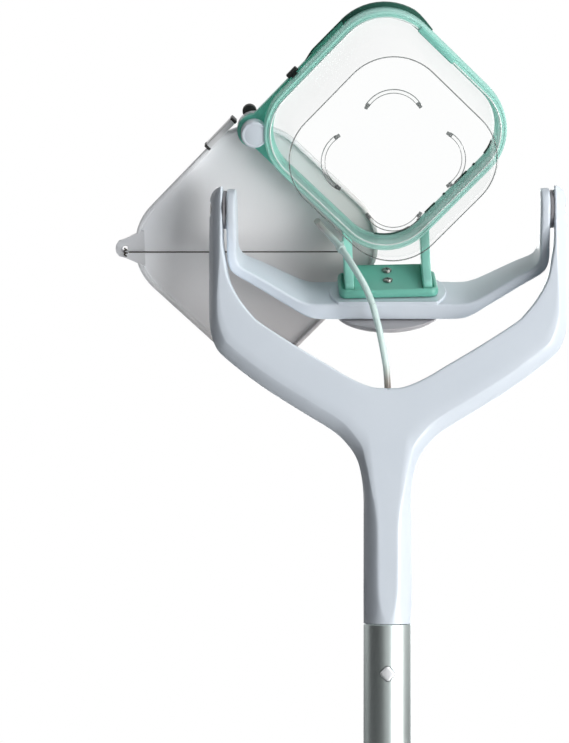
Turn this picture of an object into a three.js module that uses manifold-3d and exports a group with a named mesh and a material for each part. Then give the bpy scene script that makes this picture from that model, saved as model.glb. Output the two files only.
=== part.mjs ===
// Spider catcher: a clear cup in a turning, tilting head on a long pole. A grip that slides on the
// pole pulls a string, and the string swings a lid across the cup's mouth.
// Millimetres, +Z up the pole, the front (the cup's closed end) towards -Y. The origin is the centre
// of the flat foot below the pole.

import * as THREE from 'three';
import { mergeVertices } from 'three/addons/utils/BufferGeometryUtils.js';
import Module from 'manifold-3d';

const wasm = await Module();
wasm.setup();

// Fits
const SEAM = 0.3; // between faces that butt or seat
const SLIP = 0.3; // between a piece and the bore, slot or pocket round it
const OVERCUT = 1; // how far a cut runs past the face it opens

// Pole
const TUBE_OD = 25;
const TUBE_WALL = 1.2;
const CAP_HEIGHT = 48;
const LOWER_TUBE_LENGTH = 542;
const UPPER_TUBE_LENGTH = 488;
const SPIGOT_WALL = 2;
const SPIGOT_LENGTH = 52; // fork and end cap, inside the tubes
const PLUG_LENGTH = 124; // sleeve inside the joint of the two tubes
const CAP_STRAIGHT = 23; // round part of the end cap below the tube
const FOOT_RADIUS = 6; // flat foot of the end cap
const CAP_CHEEK = 14; // thickness between the end cap's flat cheeks
const HANG_HOLE_WIDTH = 8;
const HANG_HOLE_LENGTH = 17;
const HANG_HOLE_EDGE = 6; // foot to the hole's lower end

// Snap buttons
const SNAP_SET_BACK = 25; // from a joint to its button
const SNAP_SIDE = 6.4;
const SNAP_CORNER = 1.7;
const SNAP_PROUD = 1.6;
const SNAP_BEVEL = 0.6;
const SNAP_FLANGE = 1.2;
const SNAP_FLANGE_EDGE = 1.1;
const LEAF = 0.8;
const LEAF_WIDTH = 8;
const LEAF_LENGTH = 30;
const LEAF_BEND = 2; // radius of the leaf's bend
const LEAF_BORE = 10; // hollow of a spigot past its joint

// Fork
const FORK_RISE = 216; // tube joint to the tilt axis
const FORK_HALF_SPAN = 93.4;
const FORK_ARM = 7.1;
const FORK_DEPTH = 18.6;
const FORK_EDGE = 1.8; // bevel round the front and back
const FORK_TIP = 11; // above the tilt axis
const CROTCH_DROP = 94.3; // tilt axis to the crotch between the arms
// Outer edge: share of the way from the stem's side to the arm's outer face, and drop from the tilt axis.
const FORK_OUTER = [[1, 58], [0.96, 71.4], [0.83, 82.8], [0.476, 102.6], [0.155, 118.2], [0.026, 136.5]];
const FORK_ROOT = -0.05; // the same share at the edge's lower end, which is buried in the stem
// Inner edge above the crotch: share of the way from the middle to the arm's inner face, and drop.
const FORK_INNER = [
  [0.169, 91.3], [0.29, 85.9], [0.56, 71.8], [0.76, 60.6], [0.82, 55.9], [0.89, 48.4],
  [0.936, 41.5], [0.965, 35.4], [0.984, 26.6], [1, 18],
];
// Rounded outer corner of a tip: inset from the outer face, and drop from the tip.
const FORK_TIP_ROUND = [[4.6, 0], [2.6, 1], [0.8, 3.6], [0, 7.5]];
const STEM_STRAIGHT = 66;
const STEM_FADE = 38; // height over which the stem runs out into the arms

// Tilt pivots
const PIVOT_GAP = 2; // fork to cradle
const WASHER_RADIUS = 10;
const PIVOT_SHAFT = 2.5;
const PIVOT_HEAD = 5;
const PIVOT_HEAD_HEIGHT = 2.6;
const PIVOT_BITE = 3.6; // screw end inside the cradle's arm

// Cradle, the bow between the fork's arms
const CRADLE_TILT = 27; // degrees, top towards the front
const CRADLE_ARM = 4.9;
const CRADLE_DROP = 46.5; // tilt axis to the top of the base
const CRADLE_BASE = 9.1; // thickness of the base
const CRADLE_BASE_HALF = 39.4;
const CRADLE_ARM_DEPTH = 22;
const CRADLE_BASE_DEPTH = 34;
// Bow from tip to base: share of the way from the base's end to the arm's face, drop of the outer
// face, drop of the inner face, share of the way from the arm's depth to the base's.
const BOW = [
  [1, 24, 22, 0],
  [0.976, 28.5, 25.6, 0.03],
  [0.91, 32.2, 29, 0.08],
  [0.7, 37.8, 33.2, 0.3],
  [0.265, 49.3, 43.2, 0.8],
  [0.13, 52.9, 45.6, 0.94],
];
const BOW_CORNER = 0.3; // fall of the base's corners towards its middle
const TURNTABLE_RADIUS = 31;
const TURNTABLE_HEIGHT = 1;

// Head hub and bracket
const HEAD_TURN = 3.4; // degrees, cup towards +X
const HUB_RADIUS = 29;
const HUB_SAG = 7.4;
const SWING_CLEARANCE = 1; // between the hub and the lid's path
const BOSS_RADIUS = 11.5;
const BRACKET_WIDTH = 52;
const BRACKET_DEPTH = 28;
const BRACKET_FLOOR = 3;
const BRACKET_HEIGHT = 4.7;
const BRACKET_BACK_HEIGHT = 8.6; // its rear wall
const BRACKET_SHIFT = 2; // behind the turning axis
const BRACKET_CORNER = 4;
const BRACKET_WALL = 2;
const BRACKET_SCREW_START = 0; // turning axis to the front screw
const BRACKET_SCREW_PITCH = 9;
const BRACKET_SCREW_HEAD = 2.6;
const BRACKET_SCREW_HEAD_HEIGHT = 1.8;
const BRACKET_SCREW_SHAFT = 1.4;
const BRACKET_SCREW_LENGTH = 11; // below its head
const CROSS_ARM = 1.7; // half length of a cross recess
const CROSS_WIDTH = 0.7;

// Cup frame, cup and lid, drawn facing the cup's closed end: x right, y up, z towards the viewer
const FRAME_PITCH = -5.3; // degrees, from the cradle's own tilt
const FRAME_RISE = 81; // bracket seat to the cup's axis
const FRAME_BACK = 35; // turning axis to the lid's plane
const FRAME_SIDE = 108;
const FRAME_CORNER = 30;
const FRAME_WALL = 3.6;
const FRAME_DEPTH = 17;
const FRAME_LIP = 1.6; // rear lip that stops the cup
const FRAME_LIP_DEPTH = 2;
const FRAME_BEVEL = 1;
const FLANGE_EDGE = 2.6; // rear flange round the ring's upper left side
const FLANGE_END = 24; // its right end, from the middle
const CLIP_LENGTH = 25; // clip on the ring's upper right side
const CLIP_HEIGHT = 1.6;
const CLIP_OFFSET = 13.5; // from the side's middle towards the top
const PAD_LENGTH = 7; // latch pad on the ring's upper left side
const PAD_HEIGHT = 4.4;
const PAD_WIDTH = 6;
const PAD_OFFSET = 12; // from the side's middle towards the pin
const LEG_THICK = 4.8;
const LEG_HALF_SPACING = 20.6;
const LEG_INSET = 1; // foot to the tray's walls
// Shares of the way from the turning axis to the lid's plane.
const LEG_BELLY = -0.1;
const LEG_TOP_FRONT = 0.4;
const LEG_TOP_REAR = 0.76;
// Shares of the ring's corner that the leg reaches into it.
const LEG_REAR_REACH = 0.3;
const LEG_REACH = 0.5;
const CUP_LENGTH = 83; // lid's plane to the closed end
const CUP_END_SIDE = 92;
const CUP_END_CORNER = 29;
const CUP_WALL = 1.8;
const CUP_RIDGE = 0.9; // stacking ridges on the closed end
const CUP_RIDGE_WIDTH = 1.6;
const CUP_RIDGE_RADIUS = 15.2;
const CUP_RIDGE_OFFSET = 19.8;
const CUP_RIDGE_SPAN = 67; // degrees each way
const CUP_END_ROUND = 4;
const LID_SIDE = 112;
const LID_CORNER = 32;
const LID_REACH = 64; // pin to the lid's middle
const LID_FLOOR = 1.6;
const LID_RIM = 2.2;
const LID_RIM_HEIGHT = 4;
const LID_TAB = 10;
const LID_TAB_HALF = 5;
const LID_TAB_NOSE = 3.5; // half width just before the tip
const LID_TAB_ROUND = 1;
const TAB_HOLE = 1.6;
const STOP_LENGTH = 20; // stop flange beside the lid's pin
const STOP_HEIGHT = 7;
const STOP_THICK = 1.6;
const STOP_START = 21; // along the side from its middle
const KNOT_RADIUS = 1.4;
const KNOT_LENGTH = 6;
const HINGE_OFFSET = 69; // cup axis to the lid's pin
const EAR_RADIUS = 9;
const EAR_THICK = 5;
const LID_PIN_RADIUS = 2.5;
const PIVOT_CAP_RADIUS = 7;
const PIVOT_CAP_LENGTH = 10;
const PIVOT_CAP_WALL = 1.4;
const PIVOT_CAP_BEVEL = 0.8;
const PIN_HEAD_RADIUS = 4;
const PIN_HEAD_HEIGHT = 2.4;
const SPRING_POST_RADIUS = 3.8;
const SPRING_POST_HEIGHT = 4;
const SPRING_POST_REACH = 8.5; // pin to the post
const SPRING_POST_TURN = 105; // degrees, from the lid's right
const LID_SPRING_WIRE = 0.6; // wire radius
const LID_SPRING_TURNS = 3;
const LID_SPRING_PITCH = 2;

// String and its guide tube
const GUIDE_OD = 3.6;
const CORD_OD = 0.8;
const COLLAR_WALL = 1; // clip round the guide tube
const COLLAR_LENGTH = 5;
const STUB_LENGTH = 9;
const CORD_SIDE = 6.6; // string's distance from the pole's axis
// Course of the guide tube, from the tilt axis: inside the stem, out of the crotch and up to the
// cradle, then from the cradle to its free end.
const GUIDE_LOW = [
  [CORD_SIDE, 0, -206], [CORD_SIDE, 0, -196], [CORD_SIDE / 2, 0, -178], [0, 0, -160], [0, 0, -150],
  [0, 0, -120], [0, 0, -94], [-1.2, -1.5, -80], [-4.2, -3, -64.5], [-7.8, -4, -50.5],
];
const GUIDE_HIGH = [
  [-7.9, -4, -50.1], [-12, -4, -40.6], [-17.8, 0, -30.4], [-22.6, 8, -22.2], [-26.8, 16, -15.8],
  [-34.5, 23, -7], [-37.8, 25, -2.5],
];
const CLIP_STRETCH = 3; // stretch of the upper course that the clip holds, counted from its start
const CORD_EXIT = [-30, 24, -19.4]; // where the string comes out of the guide tube's side

// Grip
const GRIP_BOTTOM = 193;
const GRIP_LENGTH = 175;
const GRIP_HALF_WIDTH = 19;
const GRIP_FRONT = 27;
const GRIP_REAR = 17.5;
const GRIP_CORNER = 7;
const GRIP_BEVEL = 1.5;
const GRIP_REAR_POWER = 2.6; // squareness of the rear curve
const GRIP_WALL = 3;
const GRIP_TRAVEL = 85;
const BULKHEAD = 2; // wall of the front shell just before the tube
const GRIP_SCREW_HEAD = 2.4;
const GRIP_SCREW_HEAD_HEIGHT = 1.8;
const GRIP_SCREW_SEAT = 7; // behind the parting plane
const GRIP_SCREW_SHAFT = 1.5;
const GRIP_SCREW_EDGE = 14; // shell end to screw
const GRIP_SCREW_SIDE = 15.4; // pole's axis to screw
const GRIP_SCREW_BITE = 9;
const GRIP_POST_WALL = 1.4; // post round a screw
const GRIP_POST_FLOOR = 2; // post past a screw's end
const LOCK_DROP = 31; // grip's upper end to the lock button
const LOCK_RADIUS = 9.2;
const LOCK_PROUD = 4;
const LOCK_BEVEL = 1.5;
const LOCK_FLANGE = 1.6;
const LOCK_FLANGE_EDGE = 1.6;
const COLLAR_WIDTH = 2;
const COLLAR_PROUD = 1.6;
const LOCK_SPRING_WIRE = 0.5;
const LOCK_SPRING_RADIUS = 5;
const LOCK_SPRING_TURNS = 3;
const ANCHOR_LENGTH = 22;
const ANCHOR_DROP = 79; // grip's upper end to the anchor's middle
const SLOT_ROOM = 1; // slot past each end of the bolt's travel
const BOLT_RADIUS = 2.5;
const BOLT_HEAD_RADIUS = 4.4;
const BOLT_HEAD_HEIGHT = 2.6;
const BOLT_BITE = 6;

// Levels and radii that follow from the sizes above
const tubeRadius = TUBE_OD / 2;
const boreRadius = tubeRadius - TUBE_WALL;
const spigotRadius = boreRadius - SLIP;
const spigotBore = spigotRadius - SPIGOT_WALL;
const tubeJointZ = CAP_HEIGHT + LOWER_TUBE_LENGTH;
const forkJointZ = tubeJointZ + UPPER_TUBE_LENGTH;
const tiltZ = forkJointZ + FORK_RISE;
const forkInner = FORK_HALF_SPAN - FORK_ARM;
const cradleHalf = forkInner - PIVOT_GAP;
const guideBore = GUIDE_OD / 2 + SLIP;
const cordBore = CORD_OD / 2 + SLIP;
const gripTop = GRIP_BOTTOM + GRIP_LENGTH;
const anchorZ = gripTop - ANCHOR_DROP;
const lockZ = gripTop - LOCK_DROP;

// Materials
function finish(color, roughness, metalness) {
  return new THREE.MeshStandardMaterial({ color, roughness, metalness });
}
const plastic = (color, roughness) => finish(color, roughness, 0);
const metal = (color, roughness) => finish(color, roughness, 1);
const LILAC = plastic(0xd6d7e2, 0.28);
const GRIP_GREY = plastic(0xd3d6dc, 0.4);
const GREEN = plastic(0x3f9f82, 0.3);
const DARK_GREEN = plastic(0x1f6b55, 0.35);
const CLEAR = plastic(0xeaf6f2, 0.05);
const LID_GREY = plastic(0xb4b4ba, 0.4);
const WHITE = plastic(0xf1f1f2, 0.4);
const BLACK = plastic(0x20211f, 0.5);
const CAP_GREY = plastic(0xbfc4c6, 0.4);
const GUIDE = plastic(0xcfe3dc, 0.2);
const STRING = plastic(0x3a3733, 0.8);
const ALUMINIUM = metal(0xc6cfcf, 0.35);
const STEEL = metal(0xb8bbbd, 0.3);

const radians = THREE.MathUtils.degToRad;
const catcher = new THREE.Group();

function add(group, name, geometry, material) {
  geometry.deleteAttribute('uv');
  const mesh = new THREE.Mesh(geometry, material);
  mesh.name = name;
  group.add(mesh);
  return mesh;
}

// Joins and cuts
function bare(geometry) {
  const loose = geometry.index ? geometry.toNonIndexed() : geometry.clone();
  for (const name of Object.keys(loose.attributes)) {
    if (name !== 'position') loose.deleteAttribute(name);
  }
  const merged = mergeVertices(loose, 1e-4);
  const corners = merged.index.array;
  const kept = [];
  for (let i = 0; i < corners.length; i += 3) {
    const [a, b, c] = [corners[i], corners[i + 1], corners[i + 2]];
    if (a !== b && b !== c && c !== a) kept.push(a, b, c);
  }
  merged.setIndex(kept);
  return merged;
}

function toSolid(geometry) {
  const clean = bare(geometry);
  return new wasm.Manifold(new wasm.Mesh({
    numProp: 3,
    vertProperties: new Float32Array(clean.attributes.position.array),
    triVerts: new Uint32Array(clean.index.array),
  }));
}

function toGeometry(solid) {
  const mesh = solid.getMesh();
  const geometry = new THREE.BufferGeometry();
  geometry.setAttribute('position', new THREE.BufferAttribute(mesh.vertProperties, 3));
  geometry.setIndex(new THREE.BufferAttribute(mesh.triVerts, 1));
  return geometry;
}

const join = (...pieces) => toGeometry(pieces.map(toSolid).reduce((a, b) => a.add(b)));
const cut = (piece, ...tools) => {
  const whole = toSolid(piece);
  return toGeometry(tools.map(toSolid).reduce((a, b) => a.subtract(b), whole));
};
const common = (a, b) => toGeometry(toSolid(a).intersect(toSolid(b)));

// Shapes
function lathe(profile, sides = 32) {
  const points = profile.map(([r, z]) => new THREE.Vector2(r, z));
  const [first, last] = [points[0], points[points.length - 1]];
  if (first.x > 0 || last.x > 0) points.push(first.clone());
  return bare(new THREE.LatheGeometry(points, sides).rotateX(Math.PI / 2));
}

const rod = (radius, z0, z1, sides = 24) => lathe([[0, z0], [radius, z0], [radius, z1], [0, z1]], sides);

function pipe(outer, inner, z0, z1, sides = 32) {
  return lathe([[inner, z0], [outer, z0], [outer, z1], [inner, z1]], sides);
}

function block(x0, x1, y0, y1, z0, z1) {
  const box = new THREE.BoxGeometry(x1 - x0, y1 - y0, z1 - z0);
  return bare(box.translate((x0 + x1) / 2, (y0 + y1) / 2, (z0 + z1) / 2));
}

function slab(outline, z0, z1, bevel = 0) {
  const points = outline.map(([x, y]) => new THREE.Vector2(x, y));
  const geometry = new THREE.ExtrudeGeometry(new THREE.Shape(points), {
    depth: z1 - z0 - 2 * bevel,
    bevelEnabled: bevel > 0,
    bevelThickness: bevel,
    bevelSize: bevel,
    bevelOffset: -bevel,
    bevelSegments: 2,
  });
  return bare(geometry.translate(0, 0, z0 + bevel));
}

// A body through a row of rings with the same number of points, closed by a fan at each end.
function loft(rings) {
  const count = rings[0].length;
  const points = rings.flat();
  const faces = [];
  for (let r = 0; r + 1 < rings.length; r += 1) {
    for (let i = 0; i < count; i += 1) {
      const a = r * count + i;
      const b = r * count + ((i + 1) % count);
      faces.push(a, b, b + count, a, b + count, a + count);
    }
  }
  const last = (rings.length - 1) * count;
  for (let i = 1; i + 1 < count; i += 1) {
    faces.push(0, i + 1, i, last, last + i, last + i + 1);
  }
  const geometry = new THREE.BufferGeometry();
  geometry.setAttribute('position', new THREE.Float32BufferAttribute(points.flat(), 3));
  geometry.setIndex(faces);
  return bare(geometry);
}

// A round cord or tube through the given points.
function sweep(points, radius, steps, sides = 8) {
  const knots = points.map((p) => new THREE.Vector3(...p));
  const path = new THREE.CatmullRomCurve3(knots, false, 'centripetal');
  const section = new THREE.Shape();
  for (let i = 0; i < sides; i += 1) {
    const angle = (2 * Math.PI * i) / sides;
    const [x, y] = [radius * Math.cos(angle), radius * Math.sin(angle)];
    if (i === 0) section.moveTo(x, y);
    else section.lineTo(x, y);
  }
  return bare(new THREE.ExtrudeGeometry(section, { steps, bevelEnabled: false, extrudePath: path }));
}

// A compression or torsion coil on the z axis, one unbroken wire.
function coil(radius, wire, turns, pitch, z0) {
  const stepsPerTurn = 8;
  const wireSides = 5;
  const rings = [];
  for (let i = 0; i <= turns * stepsPerTurn; i += 1) {
    const angle = (2 * Math.PI * i) / stepsPerTurn;
    const z = z0 + wire + (pitch * i) / stepsPerTurn;
    const ring = [];
    for (let k = 0; k < wireSides; k += 1) {
      const around = (2 * Math.PI * k) / wireSides;
      const reach = radius + wire * Math.cos(around);
      ring.push([reach * Math.cos(angle), reach * Math.sin(angle), z + wire * Math.sin(around)]);
    }
    rings.push(ring.reverse());
  }
  return loft(rings);
}

// A square with round corners, one corner up.
function diamond(side, corner, steps = 7) {
  const points = [];
  const reach = (side / 2 - corner) * Math.SQRT2;
  for (let quarter = 0; quarter < 4; quarter += 1) {
    const middle = (quarter * Math.PI) / 2;
    const [cx, cy] = [reach * Math.cos(middle), reach * Math.sin(middle)];
    for (let i = 0; i <= steps; i += 1) {
      const angle = middle - Math.PI / 4 + (Math.PI / 2) * (i / steps);
      points.push([cx + corner * Math.cos(angle), cy + corner * Math.sin(angle)]);
    }
  }
  return points;
}

// A rectangle with round corners.
function oblong(width, height, corner, steps = 5) {
  const points = [];
  for (let quarter = 0; quarter < 4; quarter += 1) {
    const cx = (quarter === 0 || quarter === 3 ? 1 : -1) * (width / 2 - corner);
    const cy = (quarter < 2 ? 1 : -1) * (height / 2 - corner);
    for (let i = 0; i <= steps; i += 1) {
      const angle = (Math.PI / 2) * (quarter + i / steps);
      points.push([cx + corner * Math.cos(angle), cy + corner * Math.sin(angle)]);
    }
  }
  return points;
}

const ring3 = (outline, z) => outline.map(([x, y]) => [x, y, z]);
const halfDiagonal = (side, corner) => (side / 2 - corner) * Math.SQRT2 + corner;
const toFront = (geometry, z = 0) => geometry.rotateX(Math.PI / 2).translate(0, 0, z); // +z turns to -y
const toRight = (geometry) => geometry.rotateY(Math.PI / 2); // +z turns to +x

// Snap buttons: a pin through the tube wall and the spigot, pushed out by a bent leaf inside.
const snapOutline = (grow) => diamond(SNAP_SIDE + 2 * grow, SNAP_CORNER + grow, 3);
const snapPin = (grow, z0, z1, bevel = 0) => slab(snapOutline(grow), z0, z1, bevel);
const snapHole = (z) => toFront(snapPin(SLIP, 0, TUBE_OD), z);
const flangeHalf = halfDiagonal(SNAP_SIDE + 2 * SNAP_FLANGE_EDGE, SNAP_CORNER + SNAP_FLANGE_EDGE);
const flangeOut = Math.sqrt((spigotBore - SEAM) ** 2 - flangeHalf ** 2);
const flangeIn = flangeOut - SNAP_FLANGE;

// A strip of even thickness along a line of points, as an outline.
function strip(points, thickness) {
  const left = [];
  const right = [];
  points.forEach(([x, y], i) => {
    const [px, py] = points[Math.max(i - 1, 0)];
    const [nx, ny] = points[Math.min(i + 1, points.length - 1)];
    const length = Math.hypot(nx - px, ny - py);
    const [ox, oy] = [(-(ny - py) * thickness) / 2 / length, ((nx - px) * thickness) / 2 / length];
    left.push([x + ox, y + oy]);
    right.unshift([x - ox, y - oy]);
  });
  return [...left, ...right];
}

function addSnap(place, z, direction) {
  const pin = join(
    snapPin(0, flangeIn + SNAP_FLANGE / 2, tubeRadius + SNAP_PROUD, SNAP_BEVEL),
    snapPin(SNAP_FLANGE_EDGE, flangeIn, flangeOut),
  );
  add(catcher, `snap_button_${place}`, toFront(pin, z), STEEL);
  const front = flangeIn - SEAM - LEAF / 2;
  const rear = -(Math.sqrt(spigotBore ** 2 - (LEAF_WIDTH / 2) ** 2) - SEAM - LEAF);
  const bend = (front + rear) / 2;
  const line = [
    [front, -SNAP_SIDE / 2],
    [front, SNAP_SIDE / 2],
    [bend + LEAF_BEND, LEAF_LENGTH - LEAF_BEND],
    [bend, LEAF_LENGTH],
    [bend - LEAF_BEND, LEAF_LENGTH - LEAF_BEND],
    [rear, 0],
  ];
  const leaf = slab(strip(line, LEAF), -LEAF_WIDTH / 2, LEAF_WIDTH / 2);
  leaf.rotateX(Math.PI / 2).rotateZ(-Math.PI / 2);
  if (direction < 0) leaf.rotateY(Math.PI);
  add(catcher, `snap_spring_${place}`, leaf.translate(0, 0, z), STEEL);
}

addSnap('fork', forkJointZ - SNAP_SET_BACK, 1);
addSnap('joint', tubeJointZ - SNAP_SET_BACK, 1);
addSnap('cap', CAP_HEIGHT + SNAP_SET_BACK, -1);

// Tubes and the sleeve that joins them. The lower tube has a slot that the grip's bolt runs in.
const slotHalf = BOLT_RADIUS + SLIP;
const slotTop = anchorZ + slotHalf + SLOT_ROOM;
const slotLow = anchorZ - GRIP_TRAVEL - slotHalf - SLOT_ROOM;
const boltSlot = block(-slotHalf, slotHalf, -TUBE_OD, 0, slotLow, slotTop);
add(catcher, 'upper_tube', cut(
  pipe(tubeRadius, boreRadius, tubeJointZ + SEAM, forkJointZ),
  snapHole(forkJointZ - SNAP_SET_BACK),
), ALUMINIUM);
add(catcher, 'lower_tube', cut(
  pipe(tubeRadius, boreRadius, CAP_HEIGHT + SEAM, tubeJointZ),
  snapHole(tubeJointZ - SNAP_SET_BACK),
  snapHole(CAP_HEIGHT + SNAP_SET_BACK),
  boltSlot,
), ALUMINIUM);
add(catcher, 'joint_plug', cut(
  pipe(spigotRadius, spigotBore, tubeJointZ - PLUG_LENGTH / 2, tubeJointZ + PLUG_LENGTH / 2),
  snapHole(tubeJointZ - SNAP_SET_BACK),
), CAP_GREY);

// End cap: a tapered foot with flat cheeks, an oval hanging hole and a hollow spigot.
const taperTop = CAP_HEIGHT - CAP_STRAIGHT;
const taperAt = (part) => {
  const swell = Math.sin((part * Math.PI) / 2);
  return [FOOT_RADIUS + (tubeRadius - FOOT_RADIUS) * swell, taperTop * part];
};
const capBody = lathe([
  [0, 0],
  ...[0, 0.15, 0.35, 0.6, 0.8, 1].map(taperAt),
  [tubeRadius, CAP_HEIGHT],
  [spigotRadius, CAP_HEIGHT],
  [spigotRadius, CAP_HEIGHT + SPIGOT_LENGTH],
  [spigotBore, CAP_HEIGHT + SPIGOT_LENGTH],
  [spigotBore, CAP_HEIGHT - LEAF_BORE],
  [0, CAP_HEIGHT - LEAF_BORE],
]);
const hangOutline = oblong(HANG_HOLE_WIDTH, HANG_HOLE_LENGTH, HANG_HOLE_WIDTH / 2);
const hangHole = toFront(slab(hangOutline, -TUBE_OD, TUBE_OD), HANG_HOLE_EDGE + HANG_HOLE_LENGTH / 2);
const cheekCut = (y0, y1) => block(-TUBE_OD, TUBE_OD, y0, y1, -OVERCUT, taperTop);
add(catcher, 'end_cap', cut(
  capBody,
  cheekCut(CAP_CHEEK / 2, TUBE_OD),
  cheekCut(-TUBE_OD, -CAP_CHEEK / 2),
  hangHole,
  snapHole(CAP_HEIGHT + SNAP_SET_BACK),
), CAP_GREY);

// Fork: a round stem that runs out into two flat arms. Heights are from the tilt axis.
const fork = new THREE.Group();
fork.position.z = tiltZ;
catcher.add(fork);
const forkJoint = -FORK_RISE;
const stemTop = forkJoint + STEM_STRAIGHT;
const crotch = -CROTCH_DROP;

function smooth(points, perSegment) {
  const curve = new THREE.SplineCurve(points.map(([x, y]) => new THREE.Vector2(x, y)));
  return curve.getPoints((points.length - 1) * perSegment).map((p) => [p.x, p.y]);
}

const outerSpots = [...FORK_OUTER, [FORK_ROOT, -stemTop]];
const outerEdge = smooth(outerSpots.map(([share, drop]) => {
  return [tubeRadius + share * (FORK_HALF_SPAN - tubeRadius), -drop];
}), 2);
const innerSpots = [[0, CROTCH_DROP], ...FORK_INNER];
const innerEdge = smooth(innerSpots.map(([share, drop]) => [share * forkInner, -drop]), 2);
const tipEdge = FORK_TIP_ROUND.map(([inset, drop]) => [FORK_HALF_SPAN - inset, FORK_TIP - drop]);
const rightEdge = [...innerEdge, [forkInner, FORK_TIP], ...tipEdge, ...outerEdge].reverse();
const leftEdge = rightEdge.slice(0, -1).map(([x, z]) => [-x, z]).reverse();
const forkSlab = slab([...rightEdge, ...leftEdge], -FORK_DEPTH / 2, FORK_DEPTH / 2, FORK_EDGE);
forkSlab.rotateX(Math.PI / 2);
const fadeRadius = FORK_DEPTH / 2 - SLIP;
const fadeAt = (part) => [
  fadeRadius + (tubeRadius - fadeRadius) * Math.cos((part * Math.PI) / 2),
  stemTop + STEM_FADE * part,
];
const stem = lathe([
  [0, forkJoint - SPIGOT_LENGTH],
  [spigotRadius, forkJoint - SPIGOT_LENGTH],
  [spigotRadius, forkJoint + SEAM],
  [tubeRadius, forkJoint + SEAM],
  ...[0, 0.25, 0.5, 0.75, 1].map(fadeAt),
  [0, stemTop + STEM_FADE],
]);
const pastArm = FORK_HALF_SPAN + OVERCUT;
const shaftHole = toRight(rod(PIVOT_SHAFT + SLIP, -pastArm, pastArm));
const headSeat = FORK_HALF_SPAN - PIVOT_HEAD_HEIGHT - SEAM;
const headRecess = toRight(rod(PIVOT_HEAD + SLIP, headSeat, pastArm));
add(fork, 'fork', cut(
  join(forkSlab, stem),
  rod(spigotBore, forkJoint - SPIGOT_LENGTH - OVERCUT, stemTop),
  rod(guideBore, stemTop - OVERCUT, crotch + GUIDE_OD),
  shaftHole,
  headRecess,
  headRecess.clone().rotateZ(Math.PI),
  snapHole(forkJoint - SNAP_SET_BACK),
), LILAC);

// Tilt pivots: a screw through each arm's end into the cradle, with a friction washer between.
const shaftEnd = cradleHalf - PIVOT_BITE;
const pivotScrew = lathe([
  [0, shaftEnd],
  [PIVOT_SHAFT, shaftEnd],
  [PIVOT_SHAFT, headSeat + SEAM],
  [PIVOT_HEAD, headSeat + SEAM],
  [PIVOT_HEAD, FORK_HALF_SPAN],
  [0, FORK_HALF_SPAN],
], 24);
const washer = pipe(WASHER_RADIUS, PIVOT_SHAFT + SLIP, cradleHalf + SEAM, forkInner - SEAM);
for (const [side, turn] of [['right', 0], ['left', Math.PI]]) {
  add(fork, `pivot_screw_${side}`, toRight(pivotScrew.clone()).rotateZ(turn), STEEL);
  add(fork, `pivot_washer_${side}`, toRight(washer.clone()).rotateZ(turn), BLACK);
}

// Cradle: a bow between the arms with round ends, deeper at its flat base, with a turntable for the head.
const cradle = new THREE.Group();
cradle.rotation.x = radians(CRADLE_TILT);
fork.add(cradle);
const baseBottom = -CRADLE_DROP - CRADLE_BASE;
const tipRadius = CRADLE_ARM_DEPTH / 2;
const bow = [
  [1, -tipRadius, -tipRadius, 0],
  ...BOW,
  [0, -baseBottom - BOW_CORNER, CRADLE_DROP + BOW_CORNER, 1],
];
const cradleInner = cradleHalf - CRADLE_ARM;
const bowRings = bow.map(([share, outerDrop, innerDrop, deepening]) => {
  const half = (CRADLE_ARM_DEPTH + deepening * (CRADLE_BASE_DEPTH - CRADLE_ARM_DEPTH)) / 2;
  const outerX = CRADLE_BASE_HALF + share * (cradleHalf - CRADLE_BASE_HALF);
  const innerX = CRADLE_BASE_HALF + share * (cradleInner - CRADLE_BASE_HALF);
  return [
    [innerX, -half, -innerDrop],
    [innerX, half, -innerDrop],
    [outerX, half, -outerDrop],
    [outerX, -half, -outerDrop],
  ];
});
const baseHalf = CRADLE_BASE_DEPTH / 2;
const middleRing = [
  [0, -baseHalf, -CRADLE_DROP],
  [0, baseHalf, -CRADLE_DROP],
  [0, baseHalf, baseBottom],
  [0, -baseHalf, baseBottom],
];
const mirrorRing = (ring) => ring.map(([x, y, z]) => [-x, y, z]);
const bowLoft = loft([...bowRings, middleRing, ...bowRings.map(mirrorRing).reverse()]);
const belowTips = block(-pastArm, pastArm, -baseHalf, baseHalf, baseBottom, 0);
const bowBody = common(bowLoft, join(belowTips, toRight(rod(tipRadius, -pastArm, pastArm, 40))));
const turntableTop = -CRADLE_DROP + TURNTABLE_HEIGHT;
const turntable = common(
  rod(TURNTABLE_RADIUS, -CRADLE_DROP - CRADLE_BASE / 2, turntableTop, 40),
  block(-TURNTABLE_RADIUS, TURNTABLE_RADIUS, -baseHalf, baseHalf, baseBottom, turntableTop + OVERCUT),
);
const cradleHole = toRight(rod(PIVOT_SHAFT + SLIP, shaftEnd - SEAM, FORK_HALF_SPAN));
add(cradle, 'cradle', cut(
  join(bowBody, turntable),
  rod(BOSS_RADIUS + SLIP, baseBottom - OVERCUT, turntableTop + OVERCUT),
  cradleHole,
  cradleHole.clone().rotateZ(Math.PI),
), LILAC);

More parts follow.
